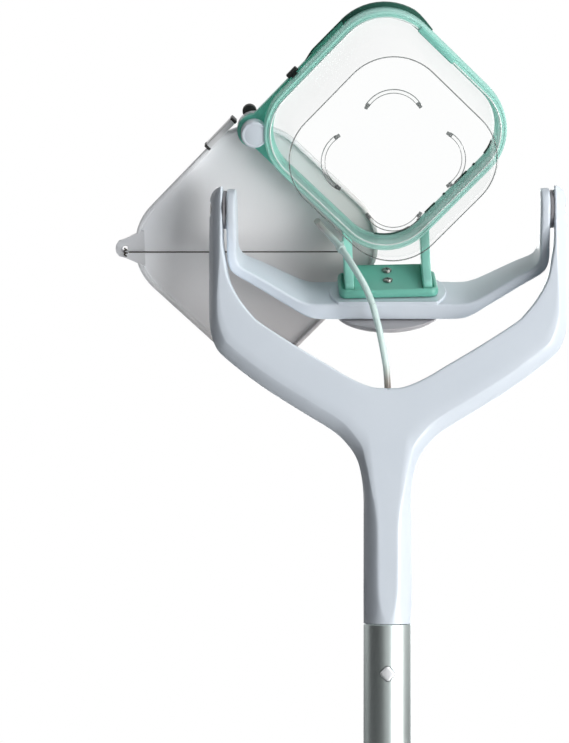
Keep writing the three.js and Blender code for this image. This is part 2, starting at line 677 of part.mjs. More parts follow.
// Head: turns on the cradle's base. Heights are from the top of the base.
const head = new THREE.Group();
head.position.z = -CRADLE_DROP;
head.rotation.z = radians(HEAD_TURN);
cradle.add(head);
const hubTop = -CRADLE_BASE - SEAM;
const bracketBottom = TURNTABLE_HEIGHT + SEAM;
const floorTop = bracketBottom + BRACKET_FLOOR;
const backTop = bracketBottom + BRACKET_BACK_HEIGHT;
const bracketFront = BRACKET_SHIFT - BRACKET_DEPTH / 2;
const bracketRear = BRACKET_SHIFT + BRACKET_DEPTH / 2;
const rampFront = bracketFront + BRACKET_WALL;
const rampRear = bracketRear - BRACKET_WALL;
const rampAt = (y) => floorTop + ((backTop - floorTop) * (y - rampFront)) / (rampRear - rampFront);
const headPocket = BRACKET_SCREW_HEAD + SLIP;
const screwSpots = [BRACKET_SCREW_START, BRACKET_SCREW_START + BRACKET_SCREW_PITCH].map((y) => {
  return { y, seat: rampAt(y - headPocket) };
});
const screwHoles = screwSpots.map(({ y, seat }) => {
  const bottom = seat - BRACKET_SCREW_LENGTH - SEAM;
  return rod(BRACKET_SCREW_SHAFT + SLIP, bottom, seat + OVERCUT, 16).translate(0, y, 0);
});

// Hub: a shallow dome below the base whose boss comes up through it to the bracket. A flat at its
// rear lets the lid swing past.
const lidPlaneAtHub = FRAME_BACK - (FRAME_RISE - hubTop) * Math.tan(radians(-FRAME_PITCH));
const hubFlat = lidPlaneAtHub - SWING_CLEARANCE;
const domeAt = (part) => {
  const angle = (part * Math.PI) / 2;
  return [HUB_RADIUS * Math.sin(angle), hubTop - HUB_SAG * Math.cos(angle)];
};
const hubLow = hubTop - HUB_SAG - OVERCUT;
add(head, 'hub_cap', cut(
  lathe([
    ...[0, 0.2, 0.4, 0.6, 0.8, 1].map(domeAt),
    [BOSS_RADIUS, hubTop],
    [BOSS_RADIUS, TURNTABLE_HEIGHT],
    [0, TURNTABLE_HEIGHT],
  ], 40),
  block(-HUB_RADIUS, HUB_RADIUS, hubFlat, hubFlat + HUB_RADIUS, hubLow, hubTop + OVERCUT),
  ...screwHoles,
), LILAC);

// Bracket: a shallow tray with a taller rear wall and, between the cup frame's legs, a ramp up to it
// with two sunk cross-head screws.
const trayPocket = oblong(
  BRACKET_WIDTH - 2 * BRACKET_WALL,
  BRACKET_DEPTH - 2 * BRACKET_WALL,
  BRACKET_CORNER - BRACKET_WALL,
);
const backWidth = BRACKET_WIDTH - 2 * BRACKET_CORNER;
const trayOutline = oblong(BRACKET_WIDTH, BRACKET_DEPTH, BRACKET_CORNER);
const traySlab = slab(trayOutline, bracketBottom, bracketBottom + BRACKET_HEIGHT);
const pocketSlab = slab(trayPocket, floorTop, backTop + OVERCUT);
const rampHalf = LEG_HALF_SPACING - LEG_THICK / 2 - SLIP;
const rampFoot = bracketBottom + BRACKET_FLOOR / 2;
const ramp = slab([
  [rampFront, rampFoot],
  [rampRear, rampFoot],
  [rampRear, backTop],
  [rampFront, floorTop],
], -rampHalf, rampHalf).rotateX(Math.PI / 2).rotateZ(Math.PI / 2);
add(head, 'bracket', cut(
  join(
    cut(traySlab.translate(0, BRACKET_SHIFT, 0), pocketSlab.translate(0, BRACKET_SHIFT, 0)),
    block(-backWidth / 2, backWidth / 2, rampRear, bracketRear, floorTop, backTop),
    ramp,
  ),
  ...screwSpots.map(({ y, seat }) => rod(headPocket, seat, backTop + OVERCUT).translate(0, y, 0)),
  ...screwHoles,
), GREEN);
const crossHalf = CROSS_WIDTH / 2;
screwSpots.forEach(({ y, seat }, i) => {
  const screwSeat = seat + SEAM;
  const screwBottom = seat - BRACKET_SCREW_LENGTH;
  const screwTop = screwSeat + BRACKET_SCREW_HEAD_HEIGHT;
  const crossFloor = screwTop - BRACKET_SCREW_HEAD_HEIGHT / 2;
  const screw = cut(
    lathe([
      [0, screwBottom],
      [BRACKET_SCREW_SHAFT, screwBottom],
      [BRACKET_SCREW_SHAFT, screwSeat],
      [BRACKET_SCREW_HEAD, screwSeat],
      [BRACKET_SCREW_HEAD, screwTop],
      [0, screwTop],
    ], 20),
    block(-CROSS_ARM, CROSS_ARM, -crossHalf, crossHalf, crossFloor, screwTop + OVERCUT),
    block(-crossHalf, crossHalf, -CROSS_ARM, CROSS_ARM, crossFloor, screwTop + OVERCUT),
  );
  add(head, i === 0 ? 'bracket_screw_front' : 'bracket_screw_rear', screw.translate(0, y, 0), STEEL);
});

// Frame axes: z along the cup towards its closed end, with the lid's plane at z = 0.
const frame = new THREE.Group();
frame.position.set(0, FRAME_BACK, FRAME_RISE);
frame.rotation.x = radians(90 + FRAME_PITCH);
head.add(frame);
frame.updateMatrix();
const toFrame = frame.matrix.clone().invert();

// Cup: a tapered rounded-square vessel with four stacking ridges on its closed end.
const mouthZ = FRAME_LIP_DEPTH + SEAM;
const mouthSide = FRAME_SIDE - 2 * FRAME_WALL - 2 * SLIP;
const mouthCorner = FRAME_CORNER - FRAME_WALL - SLIP;
const roundInset = CUP_END_ROUND * (1 - Math.SQRT1_2); // half way round the closed end's edge
function vessel(grow, z0, z1) {
  const at = (part, inset, z) => {
    const side = mouthSide + (CUP_END_SIDE - mouthSide) * part + 2 * (grow - inset);
    const corner = mouthCorner + (CUP_END_CORNER - mouthCorner) * part + grow - inset;
    return ring3(diamond(side, corner), z);
  };
  return loft([
    at(0, 0, z0),
    at(1, 0, z1 - CUP_END_ROUND),
    at(1, roundInset, z1 - roundInset),
    at(1, CUP_END_ROUND, z1),
  ]);
}
const ridgeLow = CUP_RIDGE_OFFSET + CUP_RIDGE_RADIUS * Math.cos(radians(CUP_RIDGE_SPAN));
const ridgeReach = CUP_RIDGE_RADIUS + CUP_RIDGE_WIDTH;
const ridgeOuter = CUP_RIDGE_RADIUS + CUP_RIDGE_WIDTH / 2;
const ridgeInner = CUP_RIDGE_RADIUS - CUP_RIDGE_WIDTH / 2;
const ridgeTop = CUP_LENGTH + CUP_RIDGE;
const ridgeRing = pipe(ridgeOuter, ridgeInner, CUP_LENGTH - CUP_WALL / 2, ridgeTop);
const ridge = common(
  ridgeRing.translate(0, CUP_RIDGE_OFFSET, 0),
  block(-ridgeReach, ridgeReach, ridgeLow, CUP_RIDGE_OFFSET + ridgeReach, 0, ridgeTop + OVERCUT),
);
const ridges = [0, 1, 2, 3].map((quarter) => ridge.clone().rotateZ((quarter * Math.PI) / 2));
const cupHollow = vessel(-CUP_WALL, mouthZ - OVERCUT, CUP_LENGTH - CUP_WALL);
const cupShell = cut(vessel(0, mouthZ, CUP_LENGTH), cupHollow);
add(frame, 'cup', join(cupShell, ...ridges), CLEAR);

// Cup frame: a ring round the cup's mouth with a corner ear for the lid and two legs on the bracket.
const ringOuter = slab(diamond(FRAME_SIDE, FRAME_CORNER), 0, FRAME_DEPTH, FRAME_BEVEL);
const earInner = FRAME_SIDE / 3;
const earHalf = EAR_RADIUS + HINGE_OFFSET - earInner; // half width where it is buried in the ring
const ear = join(
  rod(EAR_RADIUS, 0, EAR_THICK).translate(-HINGE_OFFSET, 0, 0),
  slab([
    [-HINGE_OFFSET, EAR_RADIUS],
    [-HINGE_OFFSET, -EAR_RADIUS],
    [-earInner, -earHalf],
    [-earInner, earHalf],
  ], 0, EAR_THICK),
);
const flangeTop = halfDiagonal(FRAME_SIDE, FRAME_CORNER);
const topFlange = common(
  slab(diamond(FRAME_SIDE + 2 * FLANGE_EDGE, FRAME_CORNER + FLANGE_EDGE), 0, FRAME_LIP_DEPTH),
  block(-FRAME_SIDE, FLANGE_END, 0, FRAME_SIDE, -OVERCUT, FRAME_DEPTH),
);
const ringLow = FRAME_RISE - flangeTop;
const legOutline = [
  [bracketFront + BRACKET_WALL + LEG_INSET, floorTop + SEAM],
  [bracketRear - BRACKET_WALL - LEG_INSET, floorTop + SEAM],
  [bracketRear - BRACKET_WALL - LEG_INSET, backTop + SEAM],
  [FRAME_BACK * LEG_TOP_REAR, ringLow + FRAME_CORNER * LEG_REAR_REACH],
  [FRAME_BACK * LEG_TOP_REAR, ringLow + FRAME_CORNER * LEG_REACH],
  [FRAME_BACK * LEG_TOP_FRONT, ringLow + FRAME_CORNER * LEG_REACH],
  [FRAME_BACK * LEG_BELLY, (floorTop + ringLow) / 2],
];
const legs = [-LEG_HALF_SPACING, LEG_HALF_SPACING].map((x) => {
  const leg = slab(legOutline, -LEG_THICK / 2, LEG_THICK / 2);
  return leg.rotateX(Math.PI / 2).rotateZ(Math.PI / 2).translate(x, 0, 0).applyMatrix4(toFrame);
});
const pinHole = rod(LID_PIN_RADIUS + SLIP, -FRAME_DEPTH, FRAME_DEPTH).translate(-HINGE_OFFSET, 0, 0);
const seatSide = FRAME_SIDE - 2 * FRAME_WALL;
const seatCorner = FRAME_CORNER - FRAME_WALL;
add(frame, 'cup_frame', cut(
  join(ringOuter, ear, topFlange, ...legs),
  slab(diamond(seatSide, seatCorner), FRAME_LIP_DEPTH, FRAME_DEPTH + OVERCUT),
  slab(diamond(seatSide - 2 * FRAME_LIP, seatCorner - FRAME_LIP), -OVERCUT, FRAME_LIP_DEPTH + OVERCUT),
  vessel(SLIP, mouthZ, CUP_LENGTH + SLIP),
  block(-FRAME_SIDE, FRAME_SIDE, -FRAME_SIDE, FRAME_SIDE, -FRAME_BACK, 0),
  rod(PIVOT_CAP_RADIUS + SLIP, EAR_THICK, FRAME_DEPTH + OVERCUT).translate(-HINGE_OFFSET, 0, 0),
  pinHole,
), GREEN);

// Small pieces on the frame's upper sides.
const clipInner = FRAME_SIDE / 2 - FRAME_WALL;
const clipOuter = FRAME_SIDE / 2 - FRAME_BEVEL;
const clip = block(-CLIP_LENGTH / 2, CLIP_LENGTH / 2, clipInner, clipOuter, SEAM, SEAM + CLIP_HEIGHT);
add(frame, 'rim_clip', clip.translate(-CLIP_OFFSET, 0, FRAME_DEPTH).rotateZ(-Math.PI / 4), DARK_GREEN);
const padLow = FRAME_SIDE / 2 + SEAM;
const padBack = EAR_THICK + SEAM;
const pad = block(
  -PAD_LENGTH / 2, PAD_LENGTH / 2,
  padLow, padLow + PAD_HEIGHT,
  padBack, padBack + PAD_WIDTH,
);
add(frame, 'latch_pad', pad.translate(-PAD_OFFSET, 0, 0).rotateZ(Math.PI / 4), BLACK);

// Lid: a shallow tray that swings on the pin. Drawn open, with its own axes on the pin.
const lid = new THREE.Group();
lid.position.x = -HINGE_OFFSET;
frame.add(lid);
const lidFront = -SEAM;
const lidBack = lidFront - LID_RIM_HEIGHT - LID_FLOOR;
const tabX = -halfDiagonal(LID_SIDE, LID_CORNER) - LID_TAB / 2;
const tabY = -LID_REACH;
const lidOutline = diamond(LID_SIDE, LID_CORNER);
const pocketOutline = diamond(LID_SIDE - 2 * LID_RIM, LID_CORNER - LID_RIM);
const lidTray = slab(lidOutline, lidBack, lidFront).translate(0, -LID_REACH, 0);
const lidPocket = slab(pocketOutline, lidBack + LID_FLOOR, lidFront + OVERCUT).translate(0, -LID_REACH, 0);
const earRoot = block(-EAR_RADIUS, EAR_RADIUS, -LID_CORNER, 0, lidBack, lidFront);
const lidTab = slab([
  [LID_TAB, 2 * LID_TAB_HALF],
  [0, LID_TAB_HALF],
  [-LID_TAB / 2 + LID_TAB_ROUND, LID_TAB_NOSE],
  [-LID_TAB / 2, 0],
  [-LID_TAB / 2 + LID_TAB_ROUND, -LID_TAB_NOSE],
  [0, -LID_TAB_HALF],
  [LID_TAB, -2 * LID_TAB_HALF],
], lidFront - LID_FLOOR, lidFront).translate(tabX, tabY, 0);
add(lid, 'lid', cut(
  join(cut(join(lidTray, earRoot, lidTab), lidPocket), rod(EAR_RADIUS, lidBack, lidFront)),
  rod(LID_PIN_RADIUS + SLIP, lidBack - OVERCUT, lidFront + OVERCUT),
  rod(TAB_HOLE, lidBack - OVERCUT, lidFront + OVERCUT, 16).translate(tabX, tabY, 0),
), LID_GREY);
const stopLow = LID_SIDE / 2 + SEAM;
const stop = block(
  STOP_START, STOP_START + STOP_LENGTH,
  stopLow, stopLow + STOP_THICK,
  lidFront - STOP_HEIGHT, lidFront,
).rotateZ(Math.PI / 4);
add(lid, 'lid_stop', stop.translate(0, -LID_REACH, 0), WHITE);
const postTop = lidBack - SEAM;
const postTurn = radians(SPRING_POST_TURN);
const springPost = rod(SPRING_POST_RADIUS, postTop - SPRING_POST_HEIGHT, postTop, 20);
springPost.translate(SPRING_POST_REACH * Math.cos(postTurn), SPRING_POST_REACH * Math.sin(postTurn), 0);
add(lid, 'spring_post', springPost, BLACK);
const knotZ = lidFront + SEAM + KNOT_RADIUS;
const knotStretch = KNOT_LENGTH / 2 / KNOT_RADIUS;
const knot = bare(new THREE.SphereGeometry(KNOT_RADIUS, 12, 8).scale(1, knotStretch, 1));
const knotY = tabY - KNOT_LENGTH / 4;
add(lid, 'cord_knot', knot.translate(tabX, knotY, knotZ), STRING);

// Lid pin with its rear head, the cap in front of the ear, and the spring inside the cap.
const capBack = EAR_THICK + SEAM;
const capFront = capBack + PIVOT_CAP_LENGTH;
const headFront = lidBack - SEAM;
const pinEnd = capFront - PIVOT_CAP_WALL - SEAM;
add(frame, 'lid_pin', lathe([
  [0, headFront - PIN_HEAD_HEIGHT],
  [PIN_HEAD_RADIUS, headFront - PIN_HEAD_HEIGHT],
  [PIN_HEAD_RADIUS, headFront],
  [LID_PIN_RADIUS, headFront],
  [LID_PIN_RADIUS, pinEnd],
  [0, pinEnd],
], 24).translate(-HINGE_OFFSET, 0, 0), BLACK);
const capBore = PIVOT_CAP_RADIUS - PIVOT_CAP_WALL;
add(frame, 'pivot_cap', lathe([
  [capBore, capBack],
  [PIVOT_CAP_RADIUS, capBack],
  [PIVOT_CAP_RADIUS, capFront - PIVOT_CAP_BEVEL],
  [PIVOT_CAP_RADIUS - PIVOT_CAP_BEVEL, capFront],
  [0, capFront],
  [0, capFront - PIVOT_CAP_WALL],
  [capBore, capFront - PIVOT_CAP_WALL],
], 32).translate(-HINGE_OFFSET, 0, 0), LILAC);
const lidCoilRadius = (LID_PIN_RADIUS + capBore) / 2;
const lidCoil = coil(lidCoilRadius, LID_SPRING_WIRE, LID_SPRING_TURNS, LID_SPRING_PITCH, capBack + SEAM);
add(frame, 'lid_spring', lidCoil.translate(-HINGE_OFFSET, 0, 0), STEEL);

// Guide tube: clear, from inside the stem, out of the fork's crotch, past the cradle's front to the
// frame's left leg. It is cut in two where it passes the cradle, because the cradle tilts and the
// head turns there.
add(fork, 'guide_tube_lower', sweep(GUIDE_LOW, GUIDE_OD / 2, 36), GUIDE);
head.updateWorldMatrix(true, false);
frame.updateWorldMatrix(true, false);
fork.updateWorldMatrix(true, false);
const intoHead = head.matrixWorld.clone().invert().multiply(fork.matrixWorld);
const intoFrame = frame.matrixWorld.clone().invert().multiply(fork.matrixWorld);
add(head, 'guide_tube_upper', sweep(GUIDE_HIGH, GUIDE_OD / 2, 16).applyMatrix4(intoHead), GUIDE);

// Clip on the frame's left leg that holds the guide tube: a collar on a flat stub.
const clipEnds = GUIDE_HIGH.slice(CLIP_STRETCH, CLIP_STRETCH + 2);
const [clipFrom, clipTo] = clipEnds.map((p) => new THREE.Vector3(...p).applyMatrix4(intoHead));
const clipSpot = clipFrom.clone().lerp(clipTo, 0.5);
const clipAlong = clipTo.clone().sub(clipFrom).normalize();
const clipTurn = new THREE.Quaternion().setFromUnitVectors(new THREE.Vector3(0, 0, 1), clipAlong);
const onGuide = (geometry) => geometry.applyQuaternion(clipTurn).translate(...clipSpot.toArray());
const legFace = -LEG_HALF_SPACING - LEG_THICK / 2 - SEAM;
const collar = onGuide(rod(guideBore + COLLAR_WALL, -COLLAR_LENGTH / 2, COLLAR_LENGTH / 2));
const stub = block(
  clipSpot.x, legFace,
  clipSpot.y, clipSpot.y + STUB_LENGTH,
  clipSpot.z - COLLAR_LENGTH / 2, clipSpot.z + COLLAR_LENGTH / 2,
);
const guidePath = onGuide(rod(guideBore, -2 * COLLAR_LENGTH, 2 * COLLAR_LENGTH));
const pastFace = block(
  legFace, 0,
  clipSpot.y - STUB_LENGTH, clipSpot.y + STUB_LENGTH,
  clipSpot.z - STUB_LENGTH, clipSpot.z + STUB_LENGTH,
);
add(head, 'guide_clip', cut(join(collar, stub), guidePath, pastFace), GREEN);

// String: from the guide tube's end to the knot on the lid's tab, and inside the pole to the grip.
const mouth = new THREE.Vector3(...CORD_EXIT).applyMatrix4(intoFrame).toArray();
const knotSide = [tabX - HINGE_OFFSET + KNOT_RADIUS + SEAM, knotY, knotZ];
const midway = mouth.map((v, i) => (v + knotSide[i]) / 2);
add(frame, 'pull_cord_lid', sweep([mouth, midway, knotSide], CORD_OD / 2, 12), STRING);

// Grip: two shells that slide on the lower tube.
function gripOutline(inset) {
  const rearSteps = 16;
  const cornerSteps = 4;
  const power = 2 / GRIP_REAR_POWER;
  const half = GRIP_HALF_WIDTH - inset;
  const rear = GRIP_REAR - inset;
  const front = GRIP_FRONT - inset;
  const corner = GRIP_CORNER - inset;
  const points = [];
  for (let i = 0; i <= rearSteps; i += 1) {
    const angle = (Math.PI * i) / rearSteps;
    const [c, s] = [Math.cos(angle), Math.sin(angle)];
    points.push([half * Math.sign(c) * Math.abs(c) ** power, rear * s ** power]);
  }
  for (const side of [-1, 1]) {
    const start = side < 0 ? Math.PI : 1.5 * Math.PI;
    const [cx, cy] = [side * (half - corner), corner - front];
    for (let i = 0; i <= cornerSteps; i += 1) {
      const angle = start + (Math.PI / 2) * (i / cornerSteps);
      points.push([cx + corner * Math.cos(angle), cy + corner * Math.sin(angle)]);
    }
  }
  return points;
}
const gripOuter = slab(gripOutline(0), GRIP_BOTTOM, gripTop, GRIP_BEVEL);
const gripCavity = slab(gripOutline(GRIP_WALL), GRIP_BOTTOM + GRIP_WALL, gripTop - GRIP_WALL);
const gripBore = rod(tubeRadius + SLIP, GRIP_BOTTOM - OVERCUT, gripTop + OVERCUT, 32);
const bulkheadRear = -(tubeRadius + SLIP);
const bulkheadFront = bulkheadRear - BULKHEAD;
const bulkhead = block(
  -GRIP_HALF_WIDTH + GRIP_WALL / 2, GRIP_HALF_WIDTH - GRIP_WALL / 2,
  bulkheadFront, bulkheadRear,
  GRIP_BOTTOM + GRIP_WALL / 2, gripTop - GRIP_WALL / 2,
);
const screwLevels = [GRIP_BOTTOM + GRIP_SCREW_EDGE, gripTop - GRIP_SCREW_EDGE];
const gripScrewSpots = [-GRIP_SCREW_SIDE, GRIP_SCREW_SIDE].flatMap((x) => screwLevels.map((z) => [x, z]));
function alongY(radius, y0, y1, [x, z], sides = 20) {
  return rod(radius, -y1, -y0, sides).rotateX(Math.PI / 2).translate(x, 0, z);
}
const postRadius = GRIP_SCREW_SHAFT + SLIP + GRIP_POST_WALL;
const postEnd = -GRIP_SCREW_BITE - GRIP_POST_FLOOR;
const posts = gripScrewSpots.map((spot) => common(alongY(postRadius, postEnd, GRIP_REAR, spot), gripOuter));
const shaftEnds = [-GRIP_SCREW_BITE - SEAM, GRIP_REAR];
const headEnds = [GRIP_SCREW_SEAT, GRIP_REAR + OVERCUT];
const lockEnds = [-GRIP_FRONT - OVERCUT, -GRIP_FRONT + GRIP_WALL + OVERCUT];
const gripShell = cut(
  join(cut(gripOuter, gripCavity), bulkhead, ...posts),
  gripBore,
  ...gripScrewSpots.map((spot) => alongY(GRIP_SCREW_SHAFT + SLIP, ...shaftEnds, spot)),
  ...gripScrewSpots.map((spot) => alongY(GRIP_SCREW_HEAD + SLIP, ...headEnds, spot)),
  alongY(LOCK_RADIUS + SLIP, ...lockEnds, [0, lockZ], 32),
  alongY(BOLT_RADIUS + SLIP, bulkheadFront - OVERCUT, 0, [0, anchorZ]),
);
const reach = 2 * GRIP_LENGTH;
const half = (y0, y1) => block(-reach, reach, y0, y1, GRIP_BOTTOM - OVERCUT, gripTop + OVERCUT);
add(catcher, 'grip_front', common(gripShell, half(-reach, -SEAM / 2)), GRIP_GREY);
add(catcher, 'grip_rear', common(gripShell, half(SEAM / 2, reach)), GRIP_GREY);
const gripScrewSeat = GRIP_SCREW_SEAT + SEAM;
gripScrewSpots.forEach((spot, i) => {
  const screw = join(
    alongY(GRIP_SCREW_SHAFT, -GRIP_SCREW_BITE, gripScrewSeat + GRIP_SCREW_HEAD_HEIGHT / 2, spot),
    alongY(GRIP_SCREW_HEAD, gripScrewSeat, gripScrewSeat + GRIP_SCREW_HEAD_HEIGHT, spot),
  );
  add(catcher, `grip_screw_${i + 1}`, screw, STEEL);
});

// Lock button with its collar and spring in the front shell.
const wallInner = GRIP_FRONT - GRIP_WALL;
const flangeFace = wallInner - SEAM;
const flangeBack = flangeFace - LOCK_FLANGE;
const buttonTop = GRIP_FRONT + LOCK_PROUD;
add(catcher, 'lock_button', toFront(lathe([
  [0, flangeBack],
  [LOCK_RADIUS + LOCK_FLANGE_EDGE, flangeBack],
  [LOCK_RADIUS + LOCK_FLANGE_EDGE, flangeFace],
  [LOCK_RADIUS, flangeFace],
  [LOCK_RADIUS, buttonTop - LOCK_BEVEL],
  [LOCK_RADIUS - LOCK_BEVEL, buttonTop],
  [0, buttonTop],
], 32), lockZ), WHITE);
const collarInner = LOCK_RADIUS + SLIP;
const collarBack = GRIP_FRONT + SEAM;
add(catcher, 'lock_collar', toFront(
  pipe(collarInner + COLLAR_WIDTH, collarInner, collarBack, collarBack + COLLAR_PROUD),
  lockZ,
), GRIP_GREY);
const springRoom = flangeBack + bulkheadFront - 2 * SEAM;
const lockPitch = (springRoom - 2 * LOCK_SPRING_WIRE) / LOCK_SPRING_TURNS;
const springSeat = SEAM - bulkheadFront;
const lockCoil = coil(LOCK_SPRING_RADIUS, LOCK_SPRING_WIRE, LOCK_SPRING_TURNS, lockPitch, springSeat);
add(catcher, 'lock_spring', toFront(lockCoil, lockZ), STEEL);

// Anchor inside the tube, the bolt that ties it to the grip, and the string tied to it.
const anchorRadius = boreRadius - SLIP;
const anchorTop = anchorZ + ANCHOR_LENGTH / 2;
const boltTip = anchorRadius - BOLT_BITE;
const boltSeat = SEAM - bulkheadFront;
add(catcher, 'cord_anchor', cut(
  rod(anchorRadius, anchorZ - ANCHOR_LENGTH / 2, anchorTop),
  alongY(BOLT_RADIUS + SLIP, -TUBE_OD, -boltTip + SEAM, [0, anchorZ]),
  rod(cordBore, anchorZ, anchorTop + OVERCUT, 12).translate(CORD_SIDE, 0, 0),
), CAP_GREY);
add(catcher, 'anchor_bolt', toFront(lathe([
  [0, boltTip],
  [BOLT_RADIUS, boltTip],
  [BOLT_RADIUS, boltSeat],
  [BOLT_HEAD_RADIUS, boltSeat],
  [BOLT_HEAD_RADIUS, boltSeat + BOLT_HEAD_HEIGHT],
  [0, boltSeat + BOLT_HEAD_HEIGHT],
], 20), anchorZ), STEEL);
const [[, , guideStart]] = GUIDE_LOW;
const cordTop = tiltZ + guideStart - SEAM;
const cordLow = anchorZ + SEAM;
const cordCourse = [cordLow, (cordLow + cordTop) / 2, cordTop].map((z) => [CORD_SIDE, 0, z]);
const poleCord = sweep(cordCourse, CORD_OD / 2, 4);
add(catcher, 'pull_cord_pole', poleCord, STRING);

export default catcher;
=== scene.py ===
"""A spider catcher: a clear cup in a tilting head on a forked pole, with a lid on a string."""
from math import cos, hypot, pi, radians, sin, sqrt

import bmesh
import bpy
from mathutils import Matrix, Vector


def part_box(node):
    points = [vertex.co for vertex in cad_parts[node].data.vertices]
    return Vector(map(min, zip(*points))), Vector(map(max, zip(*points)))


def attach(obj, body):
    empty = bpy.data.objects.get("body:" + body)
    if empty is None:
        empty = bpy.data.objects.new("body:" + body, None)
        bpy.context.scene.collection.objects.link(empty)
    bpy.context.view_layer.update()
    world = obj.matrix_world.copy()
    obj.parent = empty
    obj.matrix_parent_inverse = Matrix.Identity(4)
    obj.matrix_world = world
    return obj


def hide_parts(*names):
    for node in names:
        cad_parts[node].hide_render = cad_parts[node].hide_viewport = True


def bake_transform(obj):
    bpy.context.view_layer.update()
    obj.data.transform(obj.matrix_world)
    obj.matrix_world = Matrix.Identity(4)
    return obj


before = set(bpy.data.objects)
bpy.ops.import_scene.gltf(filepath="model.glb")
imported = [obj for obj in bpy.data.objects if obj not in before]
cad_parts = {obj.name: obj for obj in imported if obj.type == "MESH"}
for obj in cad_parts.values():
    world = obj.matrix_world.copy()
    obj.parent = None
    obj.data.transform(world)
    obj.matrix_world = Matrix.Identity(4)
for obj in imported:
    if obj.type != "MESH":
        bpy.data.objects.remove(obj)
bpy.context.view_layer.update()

# Camera: a long lens about 1.2 m in front of the fork, a little below the cup and looking slightly up,
# as the close-up was taken. The frame is 569 by 743 pixels.
FRAME_HEIGHT_PX = 743
FOCAL_PX = 2304
SENSOR_MM = 36
camera_data = bpy.data.cameras.new("camera")
camera_data.sensor_width = SENSOR_MM
camera_data.lens = FOCAL_PX / FRAME_HEIGHT_PX * SENSOR_MM
camera_data.clip_start = 0.05
camera_data.clip_end = 200
camera = bpy.data.objects.new("camera", camera_data)
bpy.context.scene.collection.objects.link(camera)
camera.location = (0, -1.2, 1.13)
aim = Vector((-0.0449, 1, 0.06576))
roll = Matrix.Rotation(radians(0.17), 4, "Z")
turn = aim.to_track_quat("-Z", "Y").to_matrix().to_4x4()
camera.rotation_euler = (turn @ roll).to_euler()
bpy.context.scene.camera = camera
bpy.context.scene.view_settings.view_transform = "Standard"


# Nodes are written as arithmetic on sockets. A Wire is one output socket, and a Finish holds the nodes
# of a material or of the world.
class Wire:
    def __init__(self, finish, socket):
        self.finish = finish
        self.socket = socket

    def math(self, operation, first, second):
        return self.finish.node("ShaderNodeMath", {"operation": operation}, {0: first, 1: second})

    def __add__(self, other):
        return self.math("ADD", self, other)

    __radd__ = __add__

    def __sub__(self, other):
        return self.math("SUBTRACT", self, other)

    def __rsub__(self, other):
        return self.math("SUBTRACT", other, self)

    def __mul__(self, other):
        return self.math("MULTIPLY", self, other)

    __rmul__ = __mul__

    def __pow__(self, other):
        return self.math("POWER", self, other)

    def step(self, low, high):
        """Zero below low, one above high and smooth between."""
        return self.finish.node(
            "ShaderNodeMapRange",
            {"interpolation_type": "SMOOTHSTEP"},
            {"Value": self, "From Min": low, "From Max": high},
        )


class Finish:
    def __init__(self, name, owner=None):
        self.owner = owner or bpy.data.materials.new(name)
        self.owner.use_nodes = True
        self.tree = self.owner.node_tree
        self.tree.nodes.clear()

    def node(self, kind, settings=None, sockets=None, output=0):
        made = self.tree.nodes.new(kind)
        for key, value in (settings or {}).items():
            setattr(made, key, value)
        for key, value in (sockets or {}).items():
            if isinstance(value, Wire):
                self.tree.links.new(value.socket, made.inputs[key])
            else:
                made.inputs[key].default_value = value
        return Wire(self, made.outputs[output] if made.outputs else None)

    def place(self, output="Object"):
        return self.node("ShaderNodeTexCoord", output=output)

    def along(self, direction, output="Object"):
        """How far a point lies along a direction."""
        return self.node(
            "ShaderNodeVectorMath",
            {"operation": "DOT_PRODUCT"},
            {0: self.place(output), 1: direction},
            "Value",
        )

    def noise(self, scale, detail=2.0, stretch=(1, 1, 1)):
        at = self.node("ShaderNodeMapping", None, {"Vector": self.place(), "Scale": stretch})
        return self.node("ShaderNodeTexNoise", None, {"Vector": at, "Scale": scale, "Detail": detail})

    def tint(self, share, low, high):
        return self.node("ShaderNodeMix", {"data_type": "RGBA"}, {0: share, 6: low, 7: high}, output=2)

    def bump(self, height, strength, distance):
        sockets = {"Height": height, "Strength": strength, "Distance": distance}
        return self.node("ShaderNodeBump", None, sockets)

    def principled(self, **sockets):
        named = {key.replace("_", " "): value for key, value in sockets.items()}
        return self.node("ShaderNodeBsdfPrincipled", None, named)

    def blend(self, share, first, second):
        return self.node("ShaderNodeMixShader", None, {0: share, 1: first, 2: second})

    def clear(self, colour):
        return self.node("ShaderNodeBsdfTransparent", None, {"Color": colour})

    def ray(self, kind):
        return self.node("ShaderNodeLightPath", output=kind)

    def show(self, shader, kind="ShaderNodeOutputMaterial"):
        self.node(kind, None, {"Surface": shader})
        return self.owner


# Studio: white behind, above and to the right, dark to the left. The eye, clear plastic and polished
# faces see the white, matt faces get a plain grey fill. A tall soft lamp stands at the right, a wide one
# near the camera and a small one above, and two behind light the object's back.
DARK_SIDE = (-0.87, -0.5, 0)
DARK_EDGE = (0.58, 0.9)
FILL = (0.12, 0.122, 0.127, 1)
DARK = (0.012, 0.01, 0.01, 1)
WHITE = (1, 1, 1, 1)
world = bpy.data.worlds.new("studio")
bpy.context.scene.world = world
room = Finish("studio", world)
shade = room.along(DARK_SIDE, "Generated").step(*DARK_EDGE)
seen = room.ray("Is Camera Ray")
through = room.ray("Is Transmission Ray")
polished = room.ray("Is Glossy Ray")
walls = [room.node("ShaderNodeBackground", None, {"Color": colour}) for colour in (DARK, FILL, WHITE)]
dark_wall, grey_wall, white_wall = walls
for_matt = room.blend(shade, grey_wall, dark_wall)
for_polished = room.blend(shade, white_wall, dark_wall)
unseen = room.blend(polished, for_matt, for_polished)
room.show(room.blend(seen.math("MAXIMUM", seen, through), unseen, white_wall), "ShaderNodeOutputWorld")


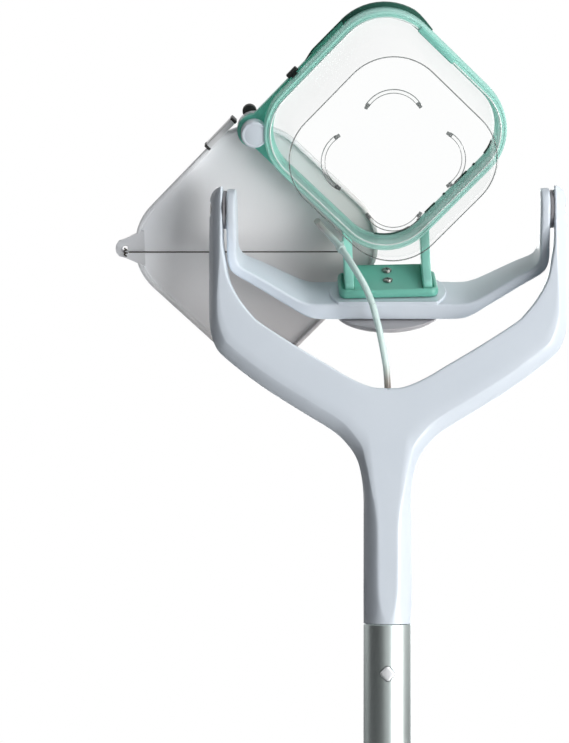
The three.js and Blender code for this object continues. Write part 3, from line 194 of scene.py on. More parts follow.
def lamp(name, place, target, size, watts, colour):
    data = bpy.data.lights.new(name, "AREA")
    data.shape = "RECTANGLE"
    data.size, data.size_y = size
    data.energy = watts
    data.color = colour
    made = bpy.data.objects.new(name, data)
    bpy.context.scene.collection.objects.link(made)
    made.location = place
    made.rotation_euler = (Vector(target) - Vector(place)).to_track_quat("-Z", "Y").to_euler()


HEAD_SPOT = (0, 0, 1.2)
WARM = (1, 0.975, 0.95)
COOL = (0.97, 0.99, 1)
PLAIN = (1, 1, 1)
lamp("key", (1.7, -1.06, 0.75), HEAD_SPOT, (0.4, 2.0), 29, WARM)
lamp("back", (1.1, 2.4, 1.0), HEAD_SPOT, (1.2, 1.6), 11, PLAIN)
lamp("rear", (0.3, 2.6, 1.2), (0, 0, 1.0), (1.2, 1.6), 22, PLAIN)
lamp("front", (1.6, -2.0, 0.6), HEAD_SPOT, (1.1, 1.4), 31, COOL)
lamp("top", (0.8, -0.5, 2.5), (0, 0, 1.25), (0.9, 0.9), 11, COOL)


# Guide tube: a clear tube that carries the string out of the fork's crotch, past the front of the
# bow and through a clip on the cup's left leg. It bends when the head tilts and turns. Here it is cut
# where it passes the bow, and both halves are baked in place and ride with no body.
MM = 0.001
TILT_AXIS = 1294
CORD_SIDES = 14
GUIDE_DIAMETER = 3.6


def between(rows, per_span):
    """More rows of numbers on smooth curves through the given ones."""
    ends = [[2 * a - b for a, b in zip(rows[0], rows[1])]]
    ends += [list(row) for row in rows]
    ends += [[2 * a - b for a, b in zip(rows[-1], rows[-2])]]
    more = []
    for i in range(1, len(ends) - 2):
        before, a, b, after = ends[i - 1 : i + 3]
        for step in range(per_span):
            t = step / per_span
            more.append([
                q * (2 * t**3 - 3 * t**2 + 1)
                + r * (3 * t**2 - 2 * t**3)
                + (r - p) / 2 * (t**3 - 2 * t**2 + t)
                + (s - q) / 2 * (t**3 - t**2)
                for p, q, r, s in zip(before, a, b, after)
            ])
    return more + [ends[-2]]


def on_curve(points, per_span):
    """Points on a smooth curve through the given ones."""
    return [Vector(row) for row in between(points, per_span)]


def tube_rings(line, radii, sides):
    """Rings of points square to a line, turned as little as possible from one to the next."""
    rings = []
    across = Vector((0, 1, 0))
    for i, middle in enumerate(line):
        along = (line[min(i + 1, len(line) - 1)] - line[max(i - 1, 0)]).normalized()
        across = (across - along * across.dot(along)).normalized()
        other = along.cross(across)
        ring = []
        for k in range(sides):
            angle = 2 * pi * k / sides
            ring.append(middle + radii[i] * (across * cos(angle) + other * sin(angle)))
        rings.append(ring)
    return rings


def skin(rings, closed_ring=True, capped=True, looped=False):
    """Faces between rows of points: (points, faces)."""
    count = len(rings[0])
    points = [p for ring in rings for p in ring]
    faces = []
    rows = len(rings) if looped else len(rings) - 1
    for r in range(rows):
        below = r * count
        above = (r + 1) % len(rings) * count
        for i in range(count if closed_ring else count - 1):
            j = (i + 1) % count
            faces.append((below + i, below + j, above + j, above + i))
    if capped and not looped:
        faces.append(tuple(reversed(range(count))))
        last = (len(rings) - 1) * count
        faces.append(tuple(range(last, last + count)))
    return points, faces


def together(*shells):
    points = []
    faces = []
    for shell_points, shell_faces in shells:
        start = len(points)
        points += list(shell_points)
        faces += [tuple(start + i for i in face) for face in shell_faces]
    return points, faces


def make(name, shell, material, place=None, crease=40, bevel=0):
    """One object in the row frame from points in millimetres in a piece's own axes."""
    points, faces = shell
    place = place or Matrix.Identity(4)
    mesh = bpy.data.meshes.new(name)
    mesh.from_pydata([MM * (place @ Vector(p)) for p in points], [], faces)
    body = bmesh.new()
    body.from_mesh(mesh)
    bmesh.ops.remove_doubles(body, verts=body.verts, dist=1e-6)
    bmesh.ops.recalc_face_normals(body, faces=body.faces)
    if bevel:
        edges = [e for e in body.edges if e.is_manifold and e.calc_face_angle() > radians(crease)]
        bmesh.ops.bevel(body, geom=edges, offset=bevel * MM, segments=3, profile=0.5, affect="EDGES")
    body.to_mesh(mesh)
    body.free()
    mesh.polygons.foreach_set("use_smooth", [True] * len(mesh.polygons))
    mesh.set_sharp_from_angle(angle=radians(crease))
    mesh.materials.append(material)
    made = bpy.data.objects.new(name, mesh)
    bpy.context.scene.collection.objects.link(made)
    return made


def settle(piece, body, slot, *nodes):
    """The piece moves with a body and stands for these solids. The slot is not used."""
    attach(piece, body)
    if nodes:
        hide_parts(*nodes)
    return piece


def fit(name, shell, material, place, body, slot, *nodes, **how):
    """Makes a piece and settles it at once."""
    return settle(make(name, shell, material, place, **how), body, slot, *nodes)


# Heights in metres between which the tube's colour changes: it turns brown towards its foot at the
# fork's crotch and pinker towards its upper end.
BROWN_FOOT = (1.2, 1.216)
PINK_END = (1.278, 1.29)
guide_tint = Finish("guide_tube_clear")
cloud = guide_tint.noise(240, 3)
height = guide_tint.along((0, 0, 1))
pale_mint = guide_tint.tint(cloud, (0.66, 0.85, 0.81, 1), (0.8, 0.92, 0.9, 1))
browned_mint = guide_tint.tint(height.step(*BROWN_FOOT), (0.36, 0.27, 0.22, 1), pale_mint)
milky = guide_tint.principled(
    Base_Color=guide_tint.tint(height.step(*PINK_END), browned_mint, (0.72, 0.62, 0.6, 1)),
    Roughness=0.12 + 0.1 * cloud,
    Coat_Weight=0.4,
)
window = guide_tint.clear((0.9, 0.97, 0.95, 1))
facing = guide_tint.node("ShaderNodeLayerWeight", None, {"Blend": 0.35}, "Facing")
guide_clear = guide_tint.show(guide_tint.blend(0.72 + 0.25 * facing, window, milky))
CROTCH_EXIT = (0, 0, -94)
PAST_BOW = (-7.85, -4, -50.3)
CLIP_BELOW = (-22.6, 8, -22.2)
CLIP_ABOVE = (-26.8, 16, -15.8)
guide_low = on_curve(
    [CROTCH_EXIT, (-0.4, -0.6, -87), (-1.2, -1.5, -80), (-4.2, -3, -64.5), PAST_BOW],
    8,
)
guide_high = on_curve(
    [
        PAST_BOW, (-12, -4, -40.6), (-17.8, 0, -30.4), CLIP_BELOW, CLIP_ABOVE,
        (-34.5, 23, -7), (-37.8, 25, -2.5),
    ],
    6,
)
fork_place = Matrix.Translation((0, 0, TILT_AXIS))


def guide_rings(line):
    return tube_rings(line, [GUIDE_DIAMETER / 2] * len(line), CORD_SIDES)


def guide_half(name, rings, node):
    """Half of the guide tube, baked in place and shown instead of its solid."""
    piece = make(name, skin(rings), guide_clear, fork_place)
    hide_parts(node)
    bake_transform(piece)


low_rings = guide_rings(guide_low)
guide_half("guide_lower", low_rings, "guide_tube_lower")
# The upper end is cut off at a slant, open to the front.
SLANT = 5
high_rings = guide_rings(guide_high)[:-3]
end_along = (guide_high[-4] - guide_high[-6]).normalized()
nearest = min(p.y for p in high_rings[-1])
high_rings.append([p + end_along * (p.y - nearest) / GUIDE_DIAMETER * SLANT for p in high_rings[-1]])
guide_half("guide_upper", high_rings, "guide_tube_upper")


# String: a thin dark braided line, pulled straight from the guide tube to a knot at the lid's tab.
# The string is baked in place, and only the knot rides with the lid.
STRING_DIAMETER = 0.8
CRADLE_TILT = radians(27)
HEAD_TURN = radians(3.4)
CUP_PITCH = radians(84.7)
BOW_BASE = (0, 0, -46.5)
CUP_MOUTH = (0, 35, 81)
PIN_X = -69
TAB_X = -70.94
KNOT = Vector((TAB_X, -65.5, 1.4))
KNOT_SIDE = Vector((1.7, 0, 0))
cradle_place = fork_place @ Matrix.Rotation(CRADLE_TILT, 4, "X")
head_place = cradle_place @ Matrix.Translation(BOW_BASE) @ Matrix.Rotation(HEAD_TURN, 4, "Z")
cup_place = head_place @ Matrix.Translation(CUP_MOUTH) @ Matrix.Rotation(CUP_PITCH, 4, "X")
lid_place = cup_place @ Matrix.Translation((PIN_X, 0, 0))
braid = Finish("string_braid")
strands = braid.node(
    "ShaderNodeTexWave",
    {"wave_type": "BANDS", "bands_direction": "DIAGONAL"},
    {"Vector": braid.place(), "Scale": 900, "Distortion": 2.0},
)
string_dark = braid.show(
    braid.principled(
        Base_Color=braid.tint(strands, (0.035, 0.032, 0.028, 1), (0.12, 0.105, 0.09, 1)),
        Roughness=0.75,
        Normal=braid.bump(strands, 0.4, 0.0002),
    )
)
STRING_START = Vector((-26.6, 23.8, -19.4))
STRING_STEPS = 24
string_end = fork_place.inverted() @ (lid_place @ (KNOT + KNOT_SIDE))
string_line = [STRING_START.lerp(string_end, i / STRING_STEPS) for i in range(STRING_STEPS + 1)]


def rod(line, radius):
    """A thin round bar along a line."""
    return skin(tube_rings(line, [radius] * len(line), 8))


string = make("string", rod(string_line, STRING_DIAMETER / 2), string_dark, fork_place)
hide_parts("pull_cord_lid")
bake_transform(string)
KNOT_RADIUS = 0.85
KNOT_LENGTH = 4.6
KNOT_TURNS = 2.5
KNOT_STEPS = 40


def knot_shell():
    """A few turns of string pulled tight round each other."""
    line = []
    for i in range(KNOT_STEPS + 1):
        part = i / KNOT_STEPS
        angle = 2 * pi * KNOT_TURNS * part
        bulge = KNOT_RADIUS * (0.35 + 0.65 * sin(pi * part))
        line.append(KNOT + Vector((bulge * cos(angle), KNOT_LENGTH * (part - 0.5), bulge * sin(angle))))
    return rod(line, STRING_DIAMETER * 0.55)


knot = make("string_knot", knot_shell(), string_dark, lid_place)
settle(knot, "lid", "string", "cord_knot")


# Fork: one pale satin moulding. A stem runs out into two flat arms, all with wide soft bevels, and is
# round where it meets the tube. Each side is drawn as sections from the tip of the arm to the stem.
def moulding(name, dark, pale, roughness, grain=1.0):
    """A smooth moulded plastic with a faint flow of colour and a fine satin grain."""
    finish = Finish(name)
    flow = finish.noise(22, 3)
    grit = finish.noise(2600, 2)
    return finish.show(
        finish.principled(
            Base_Color=finish.tint(flow, dark, pale),
            Roughness=roughness + 0.12 * (grit - 0.5),
            Normal=finish.bump(grit, 0.05 * grain, 0.0002),
            Coat_Weight=0.12 + 0.1 * flow,
        )
    )


lilac = moulding("lilac_moulding", (0.63, 0.69, 0.76, 1), (0.69, 0.745, 0.81, 1), 0.34)
STEM_RADIUS = 12.5
ARM_HALF_DEPTH = 9.3
FORK_FOOT = -215.7
TIP_HEIGHT = 11
# Inner point, outer point, how far the outer edge is rounded across, and which share of the depth
# that rounding takes.
fork_sections = [
    (86.3, TIP_HEIGHT, 88.9, TIP_HEIGHT, 2.0, 0.5),
    (86.3, 10.4, 90.9, 9.9, 3.8, 0.62),
    (86.3, 7.4, 92.6, 7.2, 5.4, 0.68),
    (86.3, 2.5, 93.4, 2.5, 6.1, 0.7),
    (86.3, -9, 93.4, -9, 6.1, 0.7),
    (86.2, -18, 93.4, -18, 6.1, 0.7),
    (84.9, -26.6, 93.4, -29, 6.2, 0.7),
    (83.3, -35.4, 93.4, -42, 6.3, 0.7),
    (80.8, -41.5, 93.4, -52, 6.4, 0.7),
    (76.8, -48.4, 92.9, -62, 6.5, 0.7),
    (70.8, -55.9, 90.2, -71.4, 6.6, 0.7),
    (65.6, -60.6, 84.9, -78, 6.7, 0.7),
    (48, -72, 66, -92.6, 6.8, 0.7),
    (30.2, -82.6, 44, -106.6, 6.9, 0.7),
    (22.5, -87.3, 33.5, -112.9, 7.0, 0.7),
    (14.6, -91.3, 25, -118.9, 7.1, 0.69),
    (7, -93.9, 18.8, -126, 7.2, 0.68),
    (0, -94.4, 15.8, -131.4, 7.3, 0.67),
    (0, -96.4, 14.4, -136, 7.4, 0.66),
    (0, -110, 13.3, -142, 7.5, 0.65),
    (0, -124, 12.7, -148, 7.5, 0.64),
    (0, -138, STEM_RADIUS, -154, 7.5, 0.63),
    (0, -152, STEM_RADIUS, -160, 7.5, 0.62),
    (0, -168, STEM_RADIUS, -170, 7.5, 0.62),
    (0, -184, STEM_RADIUS, -184, 7.5, 0.62),
    (0, -200, STEM_RADIUS, -200, 7.8, 0.64),
    (0, -209, STEM_RADIUS, -209, 9.5, 0.78),
    (0, FORK_FOOT, STEM_RADIUS, FORK_FOOT, STEM_RADIUS, 1),
]
EDGE_POWER = 1.3
INNER_ROUND = 1.3
CROTCH_HEIGHT = -94.4
ARC_STEPS = 8
FLAT_STEPS = 4
FLAT_LEFT = 0.1
ROUND_FROM = 0.7
STEM_TOP = -168
ARMS_LOW = -92
SECTION_STEPS = 4


def eased(part):
    """Runs from nought to one with soft ends."""
    part = min(max(part, 0), 1)
    return part**2 * (3 - 2 * part)


def half_depth(z):
    """Half depth of the fork at a height: the flat arms swell into the round stem."""
    swell = eased((ARMS_LOW - z) / (ARMS_LOW - STEM_TOP))
    return ARM_HALF_DEPTH + (STEM_RADIUS - ARM_HALF_DEPTH) * swell


def quarter_arc(steps):
    """Cosines and sines over a quarter turn."""
    angles = [pi / 2 * i / steps for i in range(steps + 1)]
    return [(cos(angle), sin(angle)) for angle in angles]


def arm_ring(values):
    """One section of the fork's right side, from its inner front edge round to its inner back edge."""
    inner_x, inner_z, outer_x, outer_z, across, deep = values
    inner_x = max(inner_x, 0)
    deep = min(deep, 1)
    span = hypot(outer_x - inner_x, outer_z - inner_z)
    past_crotch = min(max((CROTCH_HEIGHT - inner_z) / INNER_ROUND, 0), 1)
    across = min(across, span)
    inner_round = min(INNER_ROUND * (1 - past_crotch), (span - across) * (1 - FLAT_LEFT))
    power = EDGE_POWER + (2 - EDGE_POWER) * max(deep - ROUND_FROM, 0) / (1 - ROUND_FROM)
    arc = quarter_arc(ARC_STEPS)
    front = [(inner_round * (1 - c), 1 - inner_round / ARM_HALF_DEPTH * (1 - s)) for c, s in arc]
    for i in range(1, FLAT_STEPS):
        front.append((inner_round + (span - across - inner_round) * i / FLAT_STEPS, 1))
    for c, s in arc:
        out, back = s ** (2 / power), c ** (2 / power)
        front.append((span - across + across * out, 1 - deep * (1 - back)))
    loop = [(u, -share) for u, share in front] + [(u, share) for u, share in reversed(front)]
    ring = []
    for u, share in loop:
        part = u / span
        z = inner_z + (outer_z - inner_z) * part
        ring.append(Vector((inner_x + (outer_x - inner_x) * part, share * half_depth(z), z)))
    return ring


def mirrored(shell):
    points, faces = shell
    return [Vector((-p[0], p[1], p[2])) for p in points], [tuple(reversed(face)) for face in faces]


arm_points, arm_faces = skin([arm_ring(row) for row in between(fork_sections, SECTION_STEPS)])
in_middle = [abs(p.x) < 1e-6 for p in arm_points]
for p, middle in zip(arm_points, in_middle):
    p.x = 0.0 if middle else p.x
arm_faces = [face for face in arm_faces if not all(in_middle[i] for i in face)]
right_side = (arm_points, arm_faces)
fork_piece = make("fork_moulding", together(right_side, mirrored(right_side)), lilac, fork_place)
settle(fork_piece, "pole", "lilac_plastic", "fork")


# Bow: the same pale moulding, a bent strap between the fork's arms that widens towards its flat
# base. A low round turntable on the base carries the head.
BOW_EDGE = 1.5
# Inner x and z, outer x and z, half depth, from the right tip to the middle.
bow_sections = [
    (79.9, 10.9, 83.8, 10.9, 1.2),
    (79.7, 10.4, 84, 10.4, 3.6),
    (79.5, 9, 84.2, 9, 6.3),
    (79.4, 7, 84.3, 7, 8.5),
    (79.4, 4.2, 84.3, 4.2, 10.2),
    (79.4, 0, 84.3, 0, 11),
    (79.4, -6, 84.3, -6, 11),
    (79.4, -14, 84.3, -15, 11),
    (79.4, -21.4, 84.3, -23.4, 11),
    (78.4, -25.6, 83.2, -28.5, 11.2),
    (75.6, -29, 80.3, -32.3, 11.5),
    (67.4, -33.2, 70.8, -37.8, 12.8),
    (58.6, -38.2, 61, -43.6, 14.3),
    (50, -43.1, 51.3, -49.3, 15.8),
    (44.6, -45.6, 45.2, -52.9, 16.6),
    (38.6, -46.8, 38.8, -55.2, 17),
    (26, -46.6, 26, -55.6, 17),
    (0, -46.5, 0, -55.6, 17),
]


def oblong(width, height, corner, steps=6):
    """A rectangle with round corners."""
    points = []
    for quarter in range(4):
        x0 = (1 if quarter in (0, 3) else -1) * (width / 2 - corner)
        y0 = (1 if quarter < 2 else -1) * (height / 2 - corner)
        for i in range(steps + 1):
            angle = pi / 2 * (quarter + i / steps)
            points.append((x0 + corner * cos(angle), y0 + corner * sin(angle)))
    return points


def strap_ring(values):
    """A rounded oblong between an inner and an outer edge."""
    inner_x, inner_z, outer_x, outer_z, half = values
    span = hypot(outer_x - inner_x, outer_z - inner_z)
    edge = min(BOW_EDGE, span * 0.45, half * 0.9)
    ring = []
    for u, y in oblong(span, 2 * half, edge, 4):
        part = u / span + 0.5
        x = inner_x + (outer_x - inner_x) * part
        z = inner_z + (outer_z - inner_z) * part
        ring.append(Vector((x, y, z)))
    return ring


left_half = [(-x0, z0, -x1, z1, half) for x0, z0, x1, z1, half in reversed(bow_sections[:-1])]
whole_bow = bow_sections + left_half
bow_shell = skin([strap_ring(row) for row in between(whole_bow, SECTION_STEPS)])


def circle(radius, height, sides, clip=None):
    """A level ring of points, cut straight at the front and back where a clip is given."""
    low, high = clip or (-radius, radius)
    points = []
    for k in range(sides):
        angle = 2 * pi * k / sides
        y = min(max(radius * sin(angle), low), high)
        points.append(Vector((radius * cos(angle), y, height)))
    return points


def turned(profile, sides=64, clip=None, looped=False):
    """A round body from (radius, height) points, closed at its ends or looped round a bore."""
    return skin([circle(radius, height, sides, clip) for radius, height in profile], looped=looped)


TURNTABLE_HALF = 16.6
turntable_profile = [(30.9, -50), (31, -45.9), (30.6, -45.5), (30, -45.5)]
turntable = turned(turntable_profile, 96, (-TURNTABLE_HALF, TURNTABLE_HALF))
fit("bow", together(bow_shell, turntable), lilac, cradle_place, "cradle", "lilac_plastic", "cradle")


# Hub: a shallow dome below the bow that the head turns on, with a flat at the back where the lid swings
# past. It is the lilac painted darker and greyer: painted shade for the dome's face that looks down.
HUB_TOP = -9.4
HUB_FLAT = 25.5
HUB_RADIUS = 29
HUB_SAG = 7.4
HUB_EDGE = 0.3
hub_profile = [(0.05, HUB_TOP - HUB_SAG)]
for c, s in quarter_arc(14)[1:]:
    hub_profile.append((HUB_RADIUS * s, HUB_TOP - HUB_EDGE - (HUB_SAG - HUB_EDGE) * c))
hub_profile += [(HUB_RADIUS - HUB_EDGE, HUB_TOP), (12, HUB_TOP), (11, 0)]
# Darker, greyer copy of the lilac: painted shade.
hub_shaded_lilac = moulding("hub_painted_shade_moulding", (0.36, 0.345, 0.36, 1), (0.44, 0.425, 0.44, 1), 0.36)
hub_shell = turned(hub_profile, 96, (-HUB_RADIUS, HUB_FLAT))
fit("hub", hub_shell, hub_shaded_lilac, head_place, "head", "lilac_plastic", "hub_cap")


# Bracket: a shallow green tray on the turntable with a taller back wall. Two cross-head screws hold
# it to the hub, and the cup's legs stand in it.
GLOW_SHARE = 0.2


def green_moulding(name, dark, pale, glow, clear_share=0):
    """A green plastic that lets a little light through, or shows what is behind it."""
    finish = Finish(name)
    flow = finish.noise(28, 3)
    grit = finish.noise(2200, 2)
    colour = finish.tint(flow, dark, pale)
    skin_shader = finish.principled(
        Base_Color=colour,
        Roughness=0.28 + 0.1 * grit,
        Normal=finish.bump(grit, 0.02, 0.0002),
        Coat_Weight=0.08 + 0.08 * flow,
    )
    through = finish.node("ShaderNodeBsdfTranslucent", None, {"Color": glow})
    solid = finish.blend(GLOW_SHARE, skin_shader, through)
    if not clear_share:
        return finish.show(solid)
    pane = finish.clear(glow)
    return finish.show(finish.blend(clear_share, solid, pane))


GREEN_GLOW = (0.38, 0.82, 0.7, 1)
green = green_moulding("green_moulding", (0.15, 0.49, 0.39, 1), (0.22, 0.59, 0.48, 1), GREEN_GLOW)


def level(outline, z):
    return [Vector((x, y, z)) for x, y in outline]


def swept(outline, profile, looped=False):
    """A body from an outline that grows and rises along a profile of (growth, height) points."""
    return skin([level(outline(grow), z) for grow, z in profile], looped=looped)


def placed(shell, place):
    points, faces = shell
    return [place @ Vector(p) for p in points], faces


def rounded_ends(low, high, edge, inset, steps):
    """A profile of (growth, height) points for a bar with rounded ends."""
    profile = [(-inset * (1 - s), low + edge * (1 - c)) for c, s in quarter_arc(steps)]
    return profile + [(grow, low + high - z) for grow, z in reversed(profile)]


def rounded_block(x0, x1, y0, y1, z0, z1, edge):
    """A block with round upright corners and rounded rims."""
    def outline(grow):
        return oblong(x1 - x0 + 2 * grow, y1 - y0 + 2 * grow, max(edge + grow, 0.05), 4)

    block = swept(outline, rounded_ends(z0, z1, edge, edge * 0.9, 3))
    return placed(block, Matrix.Translation(((x0 + x1) / 2, (y0 + y1) / 2, 0)))


TRAY_WIDTH = 52
TRAY_DEPTH = 28
TRAY_CORNER = 4
TRAY_MIDDLE = (0, 2, 0)
tray = swept(
    lambda grow: oblong(TRAY_WIDTH + 2 * grow, TRAY_DEPTH + 2 * grow, TRAY_CORNER + grow),
    [
        (-0.9, 1.3), (-0.4, 1.5), (0, 2.1), (0.25, 3.2), (0.25, 4.3), (0, 5.2), (-0.35, 5.8), (-0.9, 6.0),
        (-1.4, 6.0), (-1.85, 5.8), (-2.0, 5.3), (-2.1, 4.8), (-2.3, 4.45), (-2.8, 4.3),
    ],
)
back_wall = rounded_block(-22, 22, 14, 16, 4.2, 9.9, 0.7)
RAMP_HALF = 17.8
ramp_side = [(-10, 3.9), (-10, 4.4), (14.4, 10.0), (14.4, 3.9)]
ramp = skin([[Vector((x, y, z)) for y, z in ramp_side] for x in (-RAMP_HALF, RAMP_HALF)])
bracket_shell = together(placed(tray, Matrix.Translation(TRAY_MIDDLE)), back_wall, ramp)
fit("bracket_tray", bracket_shell, green, head_place, "head", "green_plastic", "bracket")


# Cup frame: a green ring of rounded-square section round the cup's mouth, with a beaded front edge, a
# corner ear for the lid's pin and two legs that stand in the tray. It is one moulding.
RING_SIDE = 108
RING_CORNER = 30


def diamond(side, corner, steps=14):
    """A square with round corners, one corner up."""
    square = oblong(side, side, corner, steps)
    return [((x + y) / sqrt(2), (y - x) / sqrt(2)) for x, y in square]


def ring_outline(grow):
    return diamond(RING_SIDE + 2 * grow, RING_CORNER + grow)


ring_shell = swept(
    ring_outline,
    [
        (-0.4, 0), (0, 0.4), (0, 6.2), (0.25, 6.7), (0.25, 8.0), (0, 8.5), (0, 15.4), (-0.15, 16.2),
        (-0.6, 16.7), (-1.2, 16.7), (-1.45, 16.35), (-1.7, 16.2), (-1.95, 16.35), (-2.2, 16.7),
        (-2.8, 16.7), (-3.3, 16.3), (-3.5, 15.6), (-3.5, 2.3), (-4.8, 2.2), (-5.1, 1.9), (-5.1, 0.4),
        (-4.7, 0),
    ],
    looped=True,
)
EAR_RADIUS = 9
EAR_STEPS = 12
EAR_FOOT = (-36, 42)
ear_outline = [EAR_FOOT]
for step in range(EAR_STEPS + 1):
    turn_angle = pi / 2 + pi * step / EAR_STEPS
    ear_outline.append((PIN_X + EAR_RADIUS * cos(turn_angle), EAR_RADIUS * sin(turn_angle)))
ear_outline.append((EAR_FOOT[0], -EAR_FOOT[1]))
wall_line = [p for p in ring_outline(-2) if p[0] < EAR_FOOT[0] + 0.5]
ear_outline += sorted(wall_line, key=lambda p: p[1])
ear_shell = skin([level(ear_outline, z) for z in (0.05, 5)])
# The ear is drawn in a brighter, more saturated copy of the frame's green: painted light, as the ear sits
# in shade by the ring and the pin.
ear_lit_green = green_moulding("ear_painted_light_moulding", (0.17, 0.68, 0.54, 1), (0.24, 0.78, 0.63, 1), GREEN_GLOW)
fit("cup_frame_ear", ear_shell, ear_lit_green, cup_place, "head", "green_plastic", bevel=0.6)
LEG_MIDDLE = 20.6
LEG_HALF = 2.4
LEG_INNER_TOP = 25.4
LEG_OUTER_TOP = 30.2


def leg_face(side, offset, top):
    """One face of a leg, drawn from front to back and up in the head's axes."""
    line = [
        (-9, 4.6), (13, 4.6), (13, 10.2), (17, 15), (24, 19.5), (26.6, 21.5), (26.6, top),
        (14, top), (8.4, 19.5), (2.5, 13.2), (-3.5, 10.7), (-7.6, 9.4), (-9, 8.2),
    ]
    return [Vector((side * (LEG_MIDDLE + offset), y, z)) for y, z in line]


leg_green = green_moulding(
    "leg_moulding", (0.27, 0.66, 0.56, 1), (0.35, 0.74, 0.64, 1), (0.5, 0.88, 0.79, 1)
)
for side, name in ((-1, "left"), (1, "right")):
    leg = skin([leg_face(side, -LEG_HALF, LEG_INNER_TOP), leg_face(side, LEG_HALF, LEG_OUTER_TOP)])
    leg_name = f"cup_frame_leg_{name}"
    fit(leg_name, leg, leg_green, head_place, "head", "green_plastic", crease=30, bevel=0.7)
MINT_CLEAR = 0.3
mint = green_moulding(
    "mint_moulding", (0.4, 0.76, 0.67, 1), (0.5, 0.83, 0.76, 1), (0.76, 0.96, 0.92, 1), MINT_CLEAR
)
fit("cup_frame_ring", ring_shell, mint, cup_place, "head", "green_plastic", "cup_frame")
# A near-black green. On the flange over the ring's top corner and on the rod along the left flange's edge
# it is painted shade, for the back of the ring in shadow; the lugs take the same colour.
dark_green_and_shade = green_moulding(
    "dark_green_and_shade_moulding", (0.02, 0.095, 0.07, 1), (0.032, 0.13, 0.095, 1), (0.05, 0.25, 0.18, 1)
)
OUTLINE_STEP = 1.5


def bearing_of(point):
    return (Vector((1, 0)).angle_signed(point) * -180 / pi) % 360


def outline_part(grow, first, last):
    """The stretch of the ring's outline between two bearings, in degrees from the right corner."""
    corners = ring_outline(grow)
    points = []
    for start, end in zip(corners, corners[1:] + corners[:1]):
        start, end = Vector(start), Vector(end)
        pieces = max(int((end - start).length / OUTLINE_STEP), 1)
        points += [start.lerp(end, i / pieces) for i in range(pieces)]
    return sorted((p for p in points if first <= bearing_of(p) <= last), key=bearing_of)


FLANGE_FROM = 62
FLANGE_TURN = 112
FLANGE_TO = 154
FLANGE_EDGE = 2.6
FLANGE_THIN = 0.9
FLANGE_MIDDLE = 1.05
FLANGE_LAP = 3
FLANGE_SECTION = ((-0.4, -0.95), (0.88, -0.95), (1, -0.55), (1, 0.55), (0.88, 0.95), (-0.4, 0.95))
TAPER_START = 0.2
TAPER_OVER = 16
THIN_FROM = 140
THIN_OVER = 8


def flange_width(bearing):
    """Full over the top corner, tapered at the right and thin low on the left side."""
    right_taper = min((bearing - FLANGE_FROM) / TAPER_OVER + TAPER_START, 1)
    left_taper = min(max((THIN_FROM - bearing) / THIN_OVER, 0), 1)
    return right_taper * (FLANGE_THIN + (FLANGE_EDGE - FLANGE_THIN) * left_taper)


def flange_part(name, first, last, size, material, slot):
    rows = []
    for share, height in FLANGE_SECTION:
        row = []
        for point in outline_part(0, first, last):
            outward = point.normalized() * flange_width(bearing_of(point)) * share * size
            row.append(Vector((*(point + outward), FLANGE_MIDDLE + height * size)))
        rows.append(row)
    points, faces = skin(rows, closed_ring=False, capped=False, looped=True)
    count = len(rows[0])
    for column in (0, count - 1):
        faces.append(tuple(row * count + column for row in range(len(rows))))
    fit(name, (points, faces), material, cup_place, "head", slot)


# The flange over the top corner is painted near-black: painted shade. The left part is the plain green.
flange_part("cup_frame_flange", FLANGE_FROM, FLANGE_TURN, 1, dark_green_and_shade, "dark_green_plastic")
flange_part("cup_frame_flange_left", FLANGE_TURN - FLANGE_LAP, FLANGE_TO, 0.95, green, "green_plastic")
# A thin rod along the left flange's outer edge: a painted shade line.
WIRE_RADIUS = 0.4
WIRE_HEIGHT = FLANGE_MIDDLE + 0.9
wire_line = []
for point in outline_part(0, FLANGE_TURN - FLANGE_LAP, FLANGE_TO - 2):
    edge_point = point + point.normalized() * (flange_width(bearing_of(point)) - WIRE_RADIUS)
    wire_line.append(Vector((*edge_point, WIRE_HEIGHT)))
wire_shell = rod(wire_line, WIRE_RADIUS)
fit("cup_frame_flange_edge", wire_shell, dark_green_and_shade, cup_place, "head", "dark_green_plastic")
# Lugs along the lip that hold the cup, from the bottom to the right corner, as spans of bearings.
LUG_SPANS = ((262, 284), (287, 291), (294, 304), (309, 313), (319, 331), (334, 338), (342, 352))
LUG_INSET = 5.2
LUG_HEIGHT = 1.6
LUG_RADIUS = 0.6
lugs = []
for first, last in LUG_SPANS:
    lug_line = [Vector((p.x, p.y, LUG_HEIGHT)) for p in outline_part(-LUG_INSET, first, last)]
    lugs.append(rod(lug_line, LUG_RADIUS))
fit("cup_frame_lugs", together(*lugs), dark_green_and_shade, cup_place, "head", "dark_green_plastic")


# Clip and pad on the ring: a darker green clip lies along the front of its upper right side, and a
# black rubber pad that the lid's stop strikes sits on its upper left side.
clip_place = cup_place @ Matrix.Rotation(-pi / 4, 4, "Z")
clip_green = green_moulding(
    "clip_moulding", (0.22, 0.58, 0.5, 1), (0.3, 0.66, 0.58, 1), (0.4, 0.85, 0.75, 1)
)
clip_block = rounded_block(-26, -1, 49.6, 53, 17.3, 18.9, 0.6)
fit("ring_clip", clip_block, clip_green, clip_place, "head", "dark_green_plastic", "rim_clip")
rubber = moulding("black_rubber", (0.012, 0.012, 0.012, 1), (0.03, 0.03, 0.029, 1), 0.6, 3.0)
pad_place = cup_place @ Matrix.Rotation(pi / 4, 4, "Z")
pad_head = rounded_block(-15.5, -8.5, 55.2, 57.7, 5.4, 8.4, 0.6)
pad_foot = rounded_block(-14, -10, 53.6, 55.6, 6.0, 7.8, 0.3)
fit("latch_rubber", together(pad_head, pad_foot), rubber, pad_place, "head", "black_rubber", "latch_pad")


